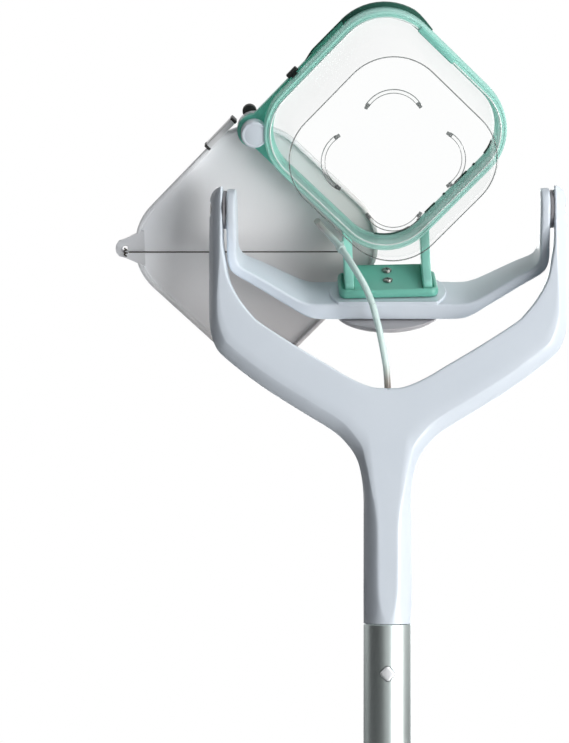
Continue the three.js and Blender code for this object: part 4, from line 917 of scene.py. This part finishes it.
# Cup: clear polished plastic, thin-walled and tapered, pushed into the ring from the front. Four raised
# arcs on its closed end let it be set down or stacked.
cup_finish = Finish("cup_clear")
edge = cup_finish.node("ShaderNodeLayerWeight", None, {"Blend": 0.5}, "Facing")
wave = cup_finish.noise(18, 2)
pane = cup_finish.clear((0.991, 0.994, 0.993, 1))
smoke = cup_finish.clear((0.9, 0.91, 0.905, 1))
wall = cup_finish.blend(edge**5 * (0.4 + 0.2 * wave), pane, smoke)
gloss = cup_finish.principled(Base_Color=(0.9, 0.93, 0.92, 1), Roughness=0.04, IOR=1.49)
shine = cup_finish.node("ShaderNodeFresnel", None, {"IOR": 1.3})
clear = cup_finish.show(cup_finish.blend(shine * 0.07, wall, gloss))
MOUTH_SIDE = 100.2
MOUTH_CORNER = 26.1
END_SIDE = 92
END_CORNER = 29
CUP_WALL = 1.8
END_ROUND = 4
CUP_END = 83
CUP_START = 2.4
WALL_STEPS = 6


def cup_ring(part, grow, z):
    side = MOUTH_SIDE + (END_SIDE - MOUTH_SIDE) * part + 2 * grow
    corner = MOUTH_CORNER + (END_CORNER - MOUTH_CORNER) * part + grow
    return level(diamond(side, corner, 18), z)


def cup_skin(grow, end):
    """Rings from the mouth along the wall and round the edge of the closed end."""
    rings = []
    for i in range(WALL_STEPS + 1):
        part = i / WALL_STEPS
        rings.append(cup_ring(part, grow, CUP_START + (end - END_ROUND - CUP_START) * part))
    for c, s in quarter_arc(8)[1:]:
        rings.append(cup_ring(1, grow - END_ROUND * (1 - c), end - END_ROUND * (1 - s)))
    return rings


outer_skin = cup_skin(0, CUP_END)
inner_skin = cup_skin(-CUP_WALL, CUP_END - CUP_WALL)
cup_shell = skin(list(reversed(outer_skin)) + inner_skin)
RIDGE_RADIUS = 15.2
RIDGE_OFFSET = 19.8
RIDGE_SPAN = radians(58)
RIDGE_STEPS = 24


def ridge_shell(quarter, section):
    """A low raised arc on the cup's end."""
    turn_back = Matrix.Rotation(quarter * pi / 2, 3, "Z")
    rows = []
    for i in range(RIDGE_STEPS + 1):
        angle = pi / 2 + RIDGE_SPAN * (2 * i / RIDGE_STEPS - 1)
        row = []
        for off, z in section:
            reach = RIDGE_RADIUS + off
            spot = Vector((reach * cos(angle), RIDGE_OFFSET + reach * sin(angle), CUP_END + z))
            row.append(turn_back @ spot)
        rows.append(row)
    return skin(rows)


fit("cup_clear_shell", cup_shell, clear, cup_place, "head", "clear_plastic", "cup", crease=50)


# The thin dark lines along the cup's end and its arcs are painted shade, standing in for the refraction
# at these edges, and the pale line at the ring's inner rim is a painted highlight.
def painted_line_plastic(name, tone, share):
    """Clear plastic with a painted line tone: dark for painted shade at edges, pale for a painted
    highlight.
    """
    finish = Finish(name)
    wave = finish.noise(30, 2)
    pane = finish.clear((0.93, 0.95, 0.945, 1))
    solid = finish.principled(Base_Color=tone, Roughness=0.15, Coat_Weight=0.3)
    return finish.show(finish.blend(share + 0.2 * wave, pane, solid))


# Near-black line tone: painted shade.
painted_dark_line = painted_line_plastic("cup_painted_dark_line", (0.1, 0.11, 0.11, 1), 0.5)
arc_section = ((-0.8, -0.2), (-0.75, 0.55), (-0.45, 0.9), (0.45, 0.9), (0.75, 0.55), (0.8, -0.2))
arc_shells = together(*[ridge_shell(q, arc_section) for q in range(4)])
fit("cup_end_arcs", arc_shells, clear, cup_place, "head", "clear_plastic")
# Dark lines along both sides of each arc: painted shade.
outer_line = ((0.7, 0.2), (0.75, 0.85), (1.1, 0.85), (1.15, 0.2))
inner_line = ((-1.1, 0.2), (-1.05, 0.7), (-0.8, 0.7), (-0.75, 0.2))
arc_lines = together(*[ridge_shell(q, line) for q in range(4) for line in (outer_line, inner_line)])
fit("cup_arc_painted_dark_lines", arc_lines, painted_dark_line, cup_place, "head", "clear_plastic")


def loop_tube(outline, radius, z):
    """A thin round bead along a closed outline."""
    line = level(outline, z)
    rings = []
    for i, middle in enumerate(line):
        along = (line[(i + 1) % len(line)] - line[i - 1]).normalized()
        across = along.cross(Vector((0, 0, 1)))
        ring = []
        for spot in circle(radius, 0, 8):
            ring.append(middle + across * spot.x + Vector((0, 0, spot.y)))
        rings.append(ring)
    return skin(rings, looped=True)


# A dark line round the edge of the closed end: painted shade.
END_LINE = 0.3
LINE_DROP = END_ROUND * 0.3
end_outline = [(p.x, p.y) for p in cup_ring(1, -LINE_DROP, 0)]
end_loop = loop_tube(end_outline, END_LINE, CUP_END - LINE_DROP)
fit("cup_end_painted_dark_line", end_loop, painted_dark_line, cup_place, "head", "clear_plastic")


def arc_tip(quarter, side):
    """The steep end of a raised arc, as a small block that takes the painted dark line."""
    angle = pi / 2 + side * RIDGE_SPAN
    at = Vector((RIDGE_RADIUS * cos(angle), RIDGE_OFFSET + RIDGE_RADIUS * sin(angle), CUP_END + 0.3))
    turn_back = Matrix.Rotation(quarter * pi / 2, 4, "Z")
    spin = turn_back @ Matrix.Translation(at) @ Matrix.Rotation(angle, 4, "Z")
    return placed(rounded_block(-0.9, 0.9, -1.6, 1.6, -0.4, 0.7, 0.3), spin)


# Dark blocks at the arcs' ends: painted shade.
tips = together(*[arc_tip(q, side) for q in range(4) for side in (-1, 1)])
fit("cup_arc_painted_dark_tips", tips, painted_dark_line, cup_place, "head", "clear_plastic")
# A pale line along the ring's inner front edge: a painted highlight.
painted_pale_line = painted_line_plastic("cup_rim_painted_highlight", (0.86, 0.93, 0.91, 1), 0.7)
rim_loop = loop_tube(ring_outline(-3.2), 0.4, 16.8)
fit("cup_rim_painted_highlight_line", rim_loop, painted_pale_line, cup_place, "head", "clear_plastic")


# Lid: a thin grey tray with a raised rim, moulded in one piece with a drilled tab for the string. It
# hangs open on the pin at the cup's corner. A white stop flange stands on its edge by the pin.
LID_SIDE = 112
LID_CORNER = 32
LID_REACH = 64
PAINTED_SHADE_CORNER = (-1.01, -0.89)


def lid_outline(grow):
    return [(x, y - LID_REACH) for x, y in diamond(LID_SIDE + 2 * grow, LID_CORNER + grow)]


# The lid is painted as a gradient: its pale cool grey is raised brighter than the lid's own grey as
# painted light, and it turns warmer and darker towards the lower right corner as painted shade and a
# painted warm reflection of the parts beside it.
lid_finish = Finish("lid_moulding")
shaded_low_right = lid_finish.along((0.7, 0, -0.7)).step(*PAINTED_SHADE_CORNER)
lid_grit = lid_finish.noise(2600, 2)
lid_grey = lid_finish.show(
    lid_finish.principled(
        Base_Color=lid_finish.tint(shaded_low_right, (0.88, 0.89, 0.915, 1), (0.73, 0.685, 0.67, 1)),
        Roughness=0.26 + 0.1 * lid_grit,
        Normal=lid_finish.bump(lid_grit, 0.04, 0.0002),
        Coat_Weight=0.2,
    )
)
tray_profile = [
    (-1.4, -5.9), (-0.5, -5.75), (-0.1, -5.3), (0, -4.6), (0, -1.0), (-0.15, -0.55), (-0.6, -0.3),
    (-1.6, -0.3), (-2.0, -0.5), (-2.2, -1.0), (-2.25, -3.4), (-2.5, -4.0), (-3.2, -4.3),
]
lid_tray = swept(lid_outline, tray_profile)
tab_outline = [
    (10, 10), (0, 5.2), (-3.4, 4.2), (-4.8, 2.2), (-5.2, 0),
    (-4.8, -2.2), (-3.4, -4.2), (0, -5.2), (10, -10),
]


def tab_ring(points, z):
    return [Vector((TAB_X + x, y - LID_REACH, z)) for x, y in points]


def tab_hole(radius):
    return [(radius * cos(a), radius * sin(a)) for a in (pi / 4 + 1.5 * pi * i / 8 for i in range(9))]


tab_rows = [
    tab_ring(tab_outline, -2.6),
    tab_ring([(x - 0.2, y) for x, y in tab_outline], -0.5),
    tab_ring([(x + 0.4, y * 0.94) for x, y in tab_outline], -0.2),
    tab_ring(tab_hole(1.9), -0.25),
    tab_ring(tab_hole(1.6), -0.6),
    tab_ring(tab_hole(1.6), -2.6),
]
tab_shell = skin(tab_rows, closed_ring=True, capped=False, looped=True)
lid_ear = turned([(8.4, -5.9), (9, -5.4), (9, -0.7), (8.6, -0.3)], 48)
fit("lid_tray", together(lid_tray, tab_shell, lid_ear), lid_grey, lid_place, "lid", "lid_plastic", "lid")
white = moulding("white_moulding", (0.76, 0.765, 0.775, 1), (0.82, 0.82, 0.83, 1), 0.32)
stop_place = lid_place @ Matrix.Translation((0, -LID_REACH, 0)) @ Matrix.Rotation(pi / 4, 4, "Z")
stop_bar = rounded_block(21, 41, 54.6, 57.9, -7.3, -0.2, 0.7)
stop_foot = rounded_block(22.4, 39.6, 55.6, 56.6, -5.6, -1.2, 0.3)
stop_shell = together(stop_bar, stop_foot)
fit("lid_stop_flange", stop_shell, white, stop_place, "lid", "white_plastic", "lid_stop")
stop_ends = together(*[rounded_block(x - 0.9, x + 0.9, 54.4, 58.1, -7.5, -0.1, 0.5) for x in (21, 41)])
fit("lid_stop_tips", stop_ends, rubber, stop_place, "lid", "black_rubber")
POST_TURN = radians(105)
POST_REACH = 8.5
post_spot = (POST_REACH * cos(POST_TURN), POST_REACH * sin(POST_TURN), 0)
post_place = lid_place @ Matrix.Translation(post_spot)
post_shell = turned([(3.3, -10.2), (3.8, -9.7), (3.8, -6.6), (3.5, -6.2)], 40)
fit("spring_post_rubber", post_shell, rubber, post_place, "lid", "black_rubber", "spring_post")


# Pivot cap: a pale lilac cap pressed on the front of the lid's pin, with a rounded rim. The pin's
# steel head shows behind the lid.
def steel_finish(name, dark, pale, roughness):
    finish = Finish(name)
    brushed = finish.noise(900, 4, (1, 1, 0.08))
    return finish.show(
        finish.principled(
            Base_Color=finish.tint(brushed, dark, pale),
            Metallic=1.0,
            Roughness=roughness + 0.16 * (brushed - 0.5),
            Normal=finish.bump(brushed, 0.04, 0.0002),
        )
    )


steel = steel_finish("plated_steel", (0.46, 0.47, 0.475, 1), (0.66, 0.67, 0.67, 1), 0.3)
cap_profile = [
    (6.6, 5.3), (7, 5.7), (7, 14.3), (6.85, 14.85), (6.4, 15.2), (5.7, 15.3),
    (5.4, 15.15), (5.1, 15.15), (4.8, 15.25),
]
fit("pivot_cap_cover", turned(cap_profile, 72), lilac, lid_place, "head", "lilac_plastic", "pivot_cap")
pin_profile = [(3.2, -8.6), (3.8, -8.3), (4, -7.6), (4, -6.4), (3.8, -6.2), (2.5, -6.1), (2.5, 5)]
pin_head = turned(pin_profile, 40)
fit("lid_pin_turned", pin_head, steel, lid_place, "head", "steel", "lid_pin")


# Pole: two brushed, anodised aluminium tubes that push together over a plastic sleeve. Fine lines run
# round them, and their ends are deburred.
TUBE_RADIUS = 12.5
TUBE_WALL = 1.2
DEBURR = 0.35
TUBE_GAP = 0.3
CAP_TOP = 48
TUBE_JOINT = 590
FORK_JOINT = 1078
tube_finish = Finish("brushed_aluminium")
lines = tube_finish.noise(60, 4, (1, 1, 45))
drift = tube_finish.noise(9, 2)
aluminium = tube_finish.show(
    tube_finish.principled(
        Base_Color=tube_finish.tint(drift, (0.63, 0.71, 0.695, 1), (0.73, 0.795, 0.78, 1)),
        Metallic=1.0,
        Roughness=0.3 + 0.14 * (lines - 0.5) + 0.05 * drift,
        Normal=tube_finish.bump(lines, 0.05, 0.0002),
    )
)


def tube_shell(low, high):
    inner = TUBE_RADIUS - TUBE_WALL
    edge = [(inner, DEBURR), (inner + DEBURR, 0), (TUBE_RADIUS - DEBURR, 0), (TUBE_RADIUS, DEBURR)]
    profile = [(radius, low + rise) for radius, rise in edge]
    profile += [(radius, high - rise) for radius, rise in reversed(edge)]
    return turned(profile, 96, looped=True)


def cut_away(piece, *shells):
    """Cuts holes through a piece."""
    tools = []
    for i, shell in enumerate(shells):
        tool = make(f"{piece.name}_hole_{i}", shell, piece.data.materials[0])
        hole = piece.modifiers.new("hole", "BOOLEAN")
        hole.operation = "DIFFERENCE"
        hole.solver = "EXACT"
        hole.object = tool
        tools.append(tool)
    bpy.context.view_layer.update()
    shaped = bpy.data.meshes.new_from_object(piece.evaluated_get(bpy.context.evaluated_depsgraph_get()))
    piece.modifiers.clear()
    piece.data = shaped
    for tool in tools:
        bpy.data.objects.remove(tool)
    piece.data.polygons.foreach_set("use_smooth", [True] * len(piece.data.polygons))
    piece.data.set_sharp_from_angle(angle=radians(35))


SNAP_SIDE = 6.4
SNAP_CORNER = 1.7
SNAP_FORK = 1053
SNAP_JOINT = 565
SNAP_CAP = 73
SNAP_HOLE = ((0.3, 4), (0.3, 20))


def snap_shell(height, profile, steps):
    """A rounded diamond along (growth, distance in front of the pole's axis) points."""
    rings = []
    for grow, depth in profile:
        outline = diamond(SNAP_SIDE + 2 * grow, SNAP_CORNER + grow, steps)
        rings.append([Vector((x, -depth, height + z)) for x, z in outline])
    return skin(rings)


upper_tube = make("upper_tube_brushed", tube_shell(TUBE_JOINT + TUBE_GAP, FORK_JOINT), aluminium)
cut_away(upper_tube, snap_shell(SNAP_FORK, SNAP_HOLE, 6))
settle(upper_tube, "pole", "tube", "upper_tube")
lower_tube = make("lower_tube_brushed", tube_shell(CAP_TOP + TUBE_GAP, TUBE_JOINT), aluminium)
cut_away(lower_tube, snap_shell(SNAP_JOINT, SNAP_HOLE, 6), snap_shell(SNAP_CAP, SNAP_HOLE, 6))
settle(lower_tube, "pole", "tube", "lower_tube")


# Snap buttons: small rounded-diamond pins in plated steel that stand a little proud of the pole and
# hold its joints.
pale_steel = steel_finish("pale_plated_steel", (0.7, 0.71, 0.73, 1), (0.78, 0.79, 0.8, 1), 0.5)
SNAP_PIN = ((0, 6.0), (0, 13.1), (-0.12, 13.55), (-0.5, 13.95), (-1.1, 14.1))
for place_name, height in (("fork", SNAP_FORK), ("joint", SNAP_JOINT), ("cap", SNAP_CAP)):
    node = f"snap_button_{place_name}"
    fit(f"{node}_pin", snap_shell(height, SNAP_PIN, 8), pale_steel, None, node, "steel", node)


# Sliding grip: two pale shells with a fine texture that close round the lower tube and are held by
# four screws from the back. The front is flat with round corners, the back is full for the palm.
grip_pale = moulding("grip_moulding", (0.55, 0.575, 0.64, 1), (0.61, 0.635, 0.695, 1), 0.42, 5.0)
GRIP_LOW = 193
GRIP_HIGH = 368
GRIP_HALF = 19
GRIP_FRONT = 27
GRIP_REAR = 17.5
GRIP_CORNER = 7
GRIP_EDGE = 2.5
GRIP_BORE = 12.9
PARTING = 0.15
LIP = 0.5
PALM_POWER = 2 / 2.6
PALM_STEPS = 32


def grip_front_outline(grow):
    half = GRIP_HALF + grow
    corner = GRIP_CORNER + grow
    points = [(half - LIP, -PARTING), (half, -PARTING - LIP)]
    arc = quarter_arc(8)
    for side, arc_part in ((1, arc), (-1, arc[::-1])):
        for across, deep in arc_part:
            x = side * (half - corner * (1 - across))
            points.append((x, corner * (1 - deep) - GRIP_FRONT - grow))
    return points + [(-half, -PARTING - LIP), (LIP - half, -PARTING)]


def grip_rear_outline(grow):
    half = GRIP_HALF + grow
    rear = GRIP_REAR + grow
    points = [(half - LIP, PARTING)]
    for i in range(1, PALM_STEPS):
        angle = pi * i / PALM_STEPS
        side = 1 if cos(angle) >= 0 else -1
        x = side * half * abs(cos(angle)) ** PALM_POWER
        points.append((x, max(rear * sin(angle) ** PALM_POWER, PARTING + LIP)))
    return points + [(LIP - half, PARTING)]


def round_hole(radius, x, z, y0, y1):
    """A drilled hole from front to back."""
    return skin([[Vector((x + p.x, y, z + p.y)) for p in circle(radius, 0, 32)] for y in (y0, y1)])


LOCK_HEIGHT = 337
SCREW_X = 15.4
SCREW_INSET = 14
pole_bore = turned([(GRIP_BORE, GRIP_LOW - 10), (GRIP_BORE, GRIP_HIGH + 10)], 72)
screw_heights = (GRIP_LOW + SCREW_INSET, GRIP_HIGH - SCREW_INSET)
screw_spots = [(x, z) for x in (-SCREW_X, SCREW_X) for z in screw_heights]
grip_ends = rounded_ends(GRIP_LOW, GRIP_HIGH, GRIP_EDGE, GRIP_EDGE, 6)
grip_front = make("grip_front_shell", swept(grip_front_outline, grip_ends), grip_pale, crease=30)
cut_away(grip_front, pole_bore, round_hole(9.5, 0, LOCK_HEIGHT, -40, -22))
settle(grip_front, "grip", "grip_plastic", "grip_front")
grip_rear = make("grip_rear_shell", swept(grip_rear_outline, grip_ends), grip_pale, crease=30)
cut_away(grip_rear, pole_bore, *[round_hole(2.7, x, z, 7, 30) for x, z in screw_spots])
settle(grip_rear, "grip", "grip_plastic", "grip_rear")


def cross_screw(name, place, radius, height, length, shank, metal=steel):
    """A pan-head screw with a cross recess. Its head's top is at zero, looking up."""
    dome = height * 0.4
    head = [(shank, -length), (shank, -height), (radius - 0.1, -height), (radius, -height * 0.75)]
    head += [(radius, -dome)] + [(radius * c, dome * (s - 1)) for c, s in quarter_arc(6)[1:-1]]
    screw = make(name, turned(head, 40), metal, place)
    arm = radius * 0.62
    width = radius * 0.13
    deep = height * 0.55
    for x, y in ((arm, width), (width, arm)):
        cut_away(screw, placed(rounded_block(-x, x, -y, y, -deep, height, width * 0.3), place))
    return screw


face_back = Matrix.Rotation(-pi / 2, 4, "X")
for number in range(1, 5):
    low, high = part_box(f"grip_screw_{number}")
    middle = (low + high) / 2 / MM
    place = Matrix.Translation((middle.x, high.y / MM, middle.z)) @ face_back
    screw = cross_screw(f"grip_screw_{number}_head", place, 2.4, 1.8, 12, 1.4)
    settle(screw, "grip", "steel", f"grip_screw_{number}")


# Lock button: a white domed button in a raised collar near the grip's upper end, pushed out by a
# coil spring.
face_front = Matrix.Rotation(pi / 2, 4, "X")
lock_place = Matrix.Translation((0, 0, LOCK_HEIGHT)) @ face_front
dome_button = [
    (10.6, 22.2), (10.6, 23.6), (9.2, 23.7), (9.2, 29.4), (8.9, 30.1), (8.2, 30.6),
    (6.5, 30.9), (4.5, 30.75), (2, 30.6),
]
button_shell = turned(dome_button, 72)
fit("lock_button_dome", button_shell, white, lock_place, "lock_button", "white_plastic", "lock_button")
collar_profile = [(9.5, 27.1), (11.7, 27.1), (11.6, 28.2), (11.1, 28.9), (10.3, 29), (9.7, 28.6)]
collar_shell = turned(collar_profile, 72, looped=True)
fit("lock_collar_ring", collar_shell, grip_pale, lock_place, "grip", "grip_plastic", "lock_collar")


# End cap: a grey plug in the pole's foot. It tapers to a flat foot between flat cheeks, and an oval
# hole through the cheeks hangs the pole on a hook.
cap_grey = moulding("cap_moulding", (0.36, 0.37, 0.375, 1), (0.43, 0.44, 0.445, 1), 0.36)
CHEEK_HALF = 7
TAPER_TOP = 25
FOOT = 6
FOOT_EDGE = 0.8
RIM_FROM = 47.5
RIM_EDGE = 0.4
SHOULDER = 21
SHOULDER_RISE = 7


def cap_ring(height):
    radius = FOOT + (TUBE_RADIUS - FOOT) * sin(pi / 2 * min(height / TAPER_TOP, 1))
    radius -= FOOT_EDGE * max(1 - height, 0)
    if height > RIM_FROM:
        radius -= RIM_EDGE
    flat = CHEEK_HALF + (TUBE_RADIUS - CHEEK_HALF) * eased((height - SHOULDER) / SHOULDER_RISE)
    return circle(radius, height, 80, (-flat, flat))


cap_heights = [0, 0.4, 1.2] + [3 * i for i in range(1, 9)] + [25.5, 27, 29, 32, 36, 42, 47.3, 47.7]
end_cap = make("end_cap_plug", skin([cap_ring(height) for height in cap_heights]), cap_grey, crease=50)
hang_outline = oblong(8, 17, 4, 10)
HANG_HEIGHT = 14.55
hang_hole = skin([[Vector((x, y, HANG_HEIGHT + z)) for x, z in hang_outline] for y in (-20, 20)])
cut_away(end_cap, hang_hole)
settle(end_cap, "pole", "inner_plastic", "end_cap")


# Tilt screws: a cross-head screw sunk in each arm's end, with a dark friction washer between the arm
# and the bow.
SEAT_RADIUS = 5.3
SEAT_FLOOR = 90.6
SEAT_END = 99
SCREW_TOP = (0, 0, 93.3)
for name, side in (("left", -1), ("right", 1)):
    bore = fork_place @ Matrix.Rotation(side * pi / 2, 4, "Y")
    cut_away(fork_piece, placed(turned([(SEAT_RADIUS, SEAT_FLOOR), (SEAT_RADIUS, SEAT_END)], 48), bore))
    screw = cross_screw(f"tilt_screw_{name}", bore @ Matrix.Translation(SCREW_TOP), 5, 2.5, 12, 2.5)
    settle(screw, "pole", "steel", f"pivot_screw_{name}")


def dress(material, *nodes):
    """Gives solids that are shown as they are a finish."""
    for node in nodes:
        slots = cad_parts[node].data.materials
        slots.clear()
        slots.append(material)


washer_grey = moulding("washer_moulding", (0.2, 0.195, 0.21, 1), (0.26, 0.255, 0.27, 1), 0.5)
dress(washer_grey, "pivot_washer_left", "pivot_washer_right")


# Screws in the tray, and the pieces that stay inside: leaf springs, coil springs, the sleeve in the
# pole's joint, and the anchor and bolt that tie the string to the grip.
dark_steel = steel_finish("dark_steel", (0.2, 0.2, 0.19, 1), (0.34, 0.33, 0.31, 1), 0.35)
for name, y, top in (("front", 0, 8.06), ("rear", 9, 10.16)):
    place = head_place @ Matrix.Translation((0, y, top))
    screw = cross_screw(f"tray_screw_{name}", place, 2.6, 2.1, 10.9, 1.3, dark_steel)
    settle(screw, "head", "steel", f"bracket_screw_{name}")


def springy(node):
    """A steel copy of a spring, baked in place and shown instead of its solid."""
    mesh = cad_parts[node].data.copy()
    mesh.materials.clear()
    mesh.materials.append(steel)
    piece = bpy.data.objects.new(f"{node}_steel", mesh)
    bpy.context.scene.collection.objects.link(piece)
    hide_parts(node)
    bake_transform(piece)


for joint in ("fork", "joint", "cap"):
    springy(f"snap_spring_{joint}")
springy("lock_spring")
dress(steel, "lid_spring", "anchor_bolt")
dress(cap_grey, "joint_plug", "cord_anchor")
dress(string_dark, "pull_cord_pole")


# Guide clip: a small collar in the guide tube's clear plastic, on a stub of the cup's left leg. The
# tube's end is pushed through it.
CLIP_REACH = -22.6
clip_spot = (Vector(CLIP_BELOW) + Vector(CLIP_ABOVE)) / 2
clip_along = (Vector(CLIP_ABOVE) - Vector(CLIP_BELOW)).normalized()
collar_line = [clip_spot + clip_along * step for step in (-1.9, -1.6, 1.6, 1.9)]
collar_widths = (2.1, 2.4, 2.4, 2.1)
in_head = head_place.inverted() @ fork_place
collar = placed(skin(tube_rings(collar_line, collar_widths, 24)), in_head)
spot = in_head @ clip_spot
stub = rounded_block(spot.x, CLIP_REACH, spot.y + 0.5, spot.y + 8, spot.z - 1.6, spot.z + 1.6, 0.6)
clip_shell = together(collar, stub)
fit("guide_clip_collar", clip_shell, guide_clear, head_place, "head", "green_plastic", "guide_clip")


# Floor: plain and pale below the pole's foot, where it keeps the shadow, and white farther off.
FLOOR_HALF = 40000
FLOOR_DROP = 0.0005
WHITE_FROM = (0.1, 1.1)
floor_finish = Finish("floor_pale")
floor_spot = floor_finish.place()
from_foot = floor_finish.node("ShaderNodeVectorMath", {"operation": "LENGTH"}, {0: floor_spot}, "Value")
seen_floor = floor_finish.ray("Is Camera Ray")
matt = floor_finish.principled(Base_Color=(0.8, 0.8, 0.8, 1), Roughness=0.8)
glow = floor_finish.node("ShaderNodeEmission", None, {"Color": WHITE})
floor_pale = floor_finish.show(floor_finish.blend(seen_floor * from_foot.step(*WHITE_FROM), matt, glow))
corners = [(-FLOOR_HALF, -FLOOR_HALF, 0), (FLOOR_HALF, -FLOOR_HALF, 0)]
corners += [(FLOOR_HALF, FLOOR_HALF, 0), (-FLOOR_HALF, FLOOR_HALF, 0)]
floor = make("floor", (corners, [(0, 1, 2, 3)]), floor_pale)
floor.location.z = -FLOOR_DROP
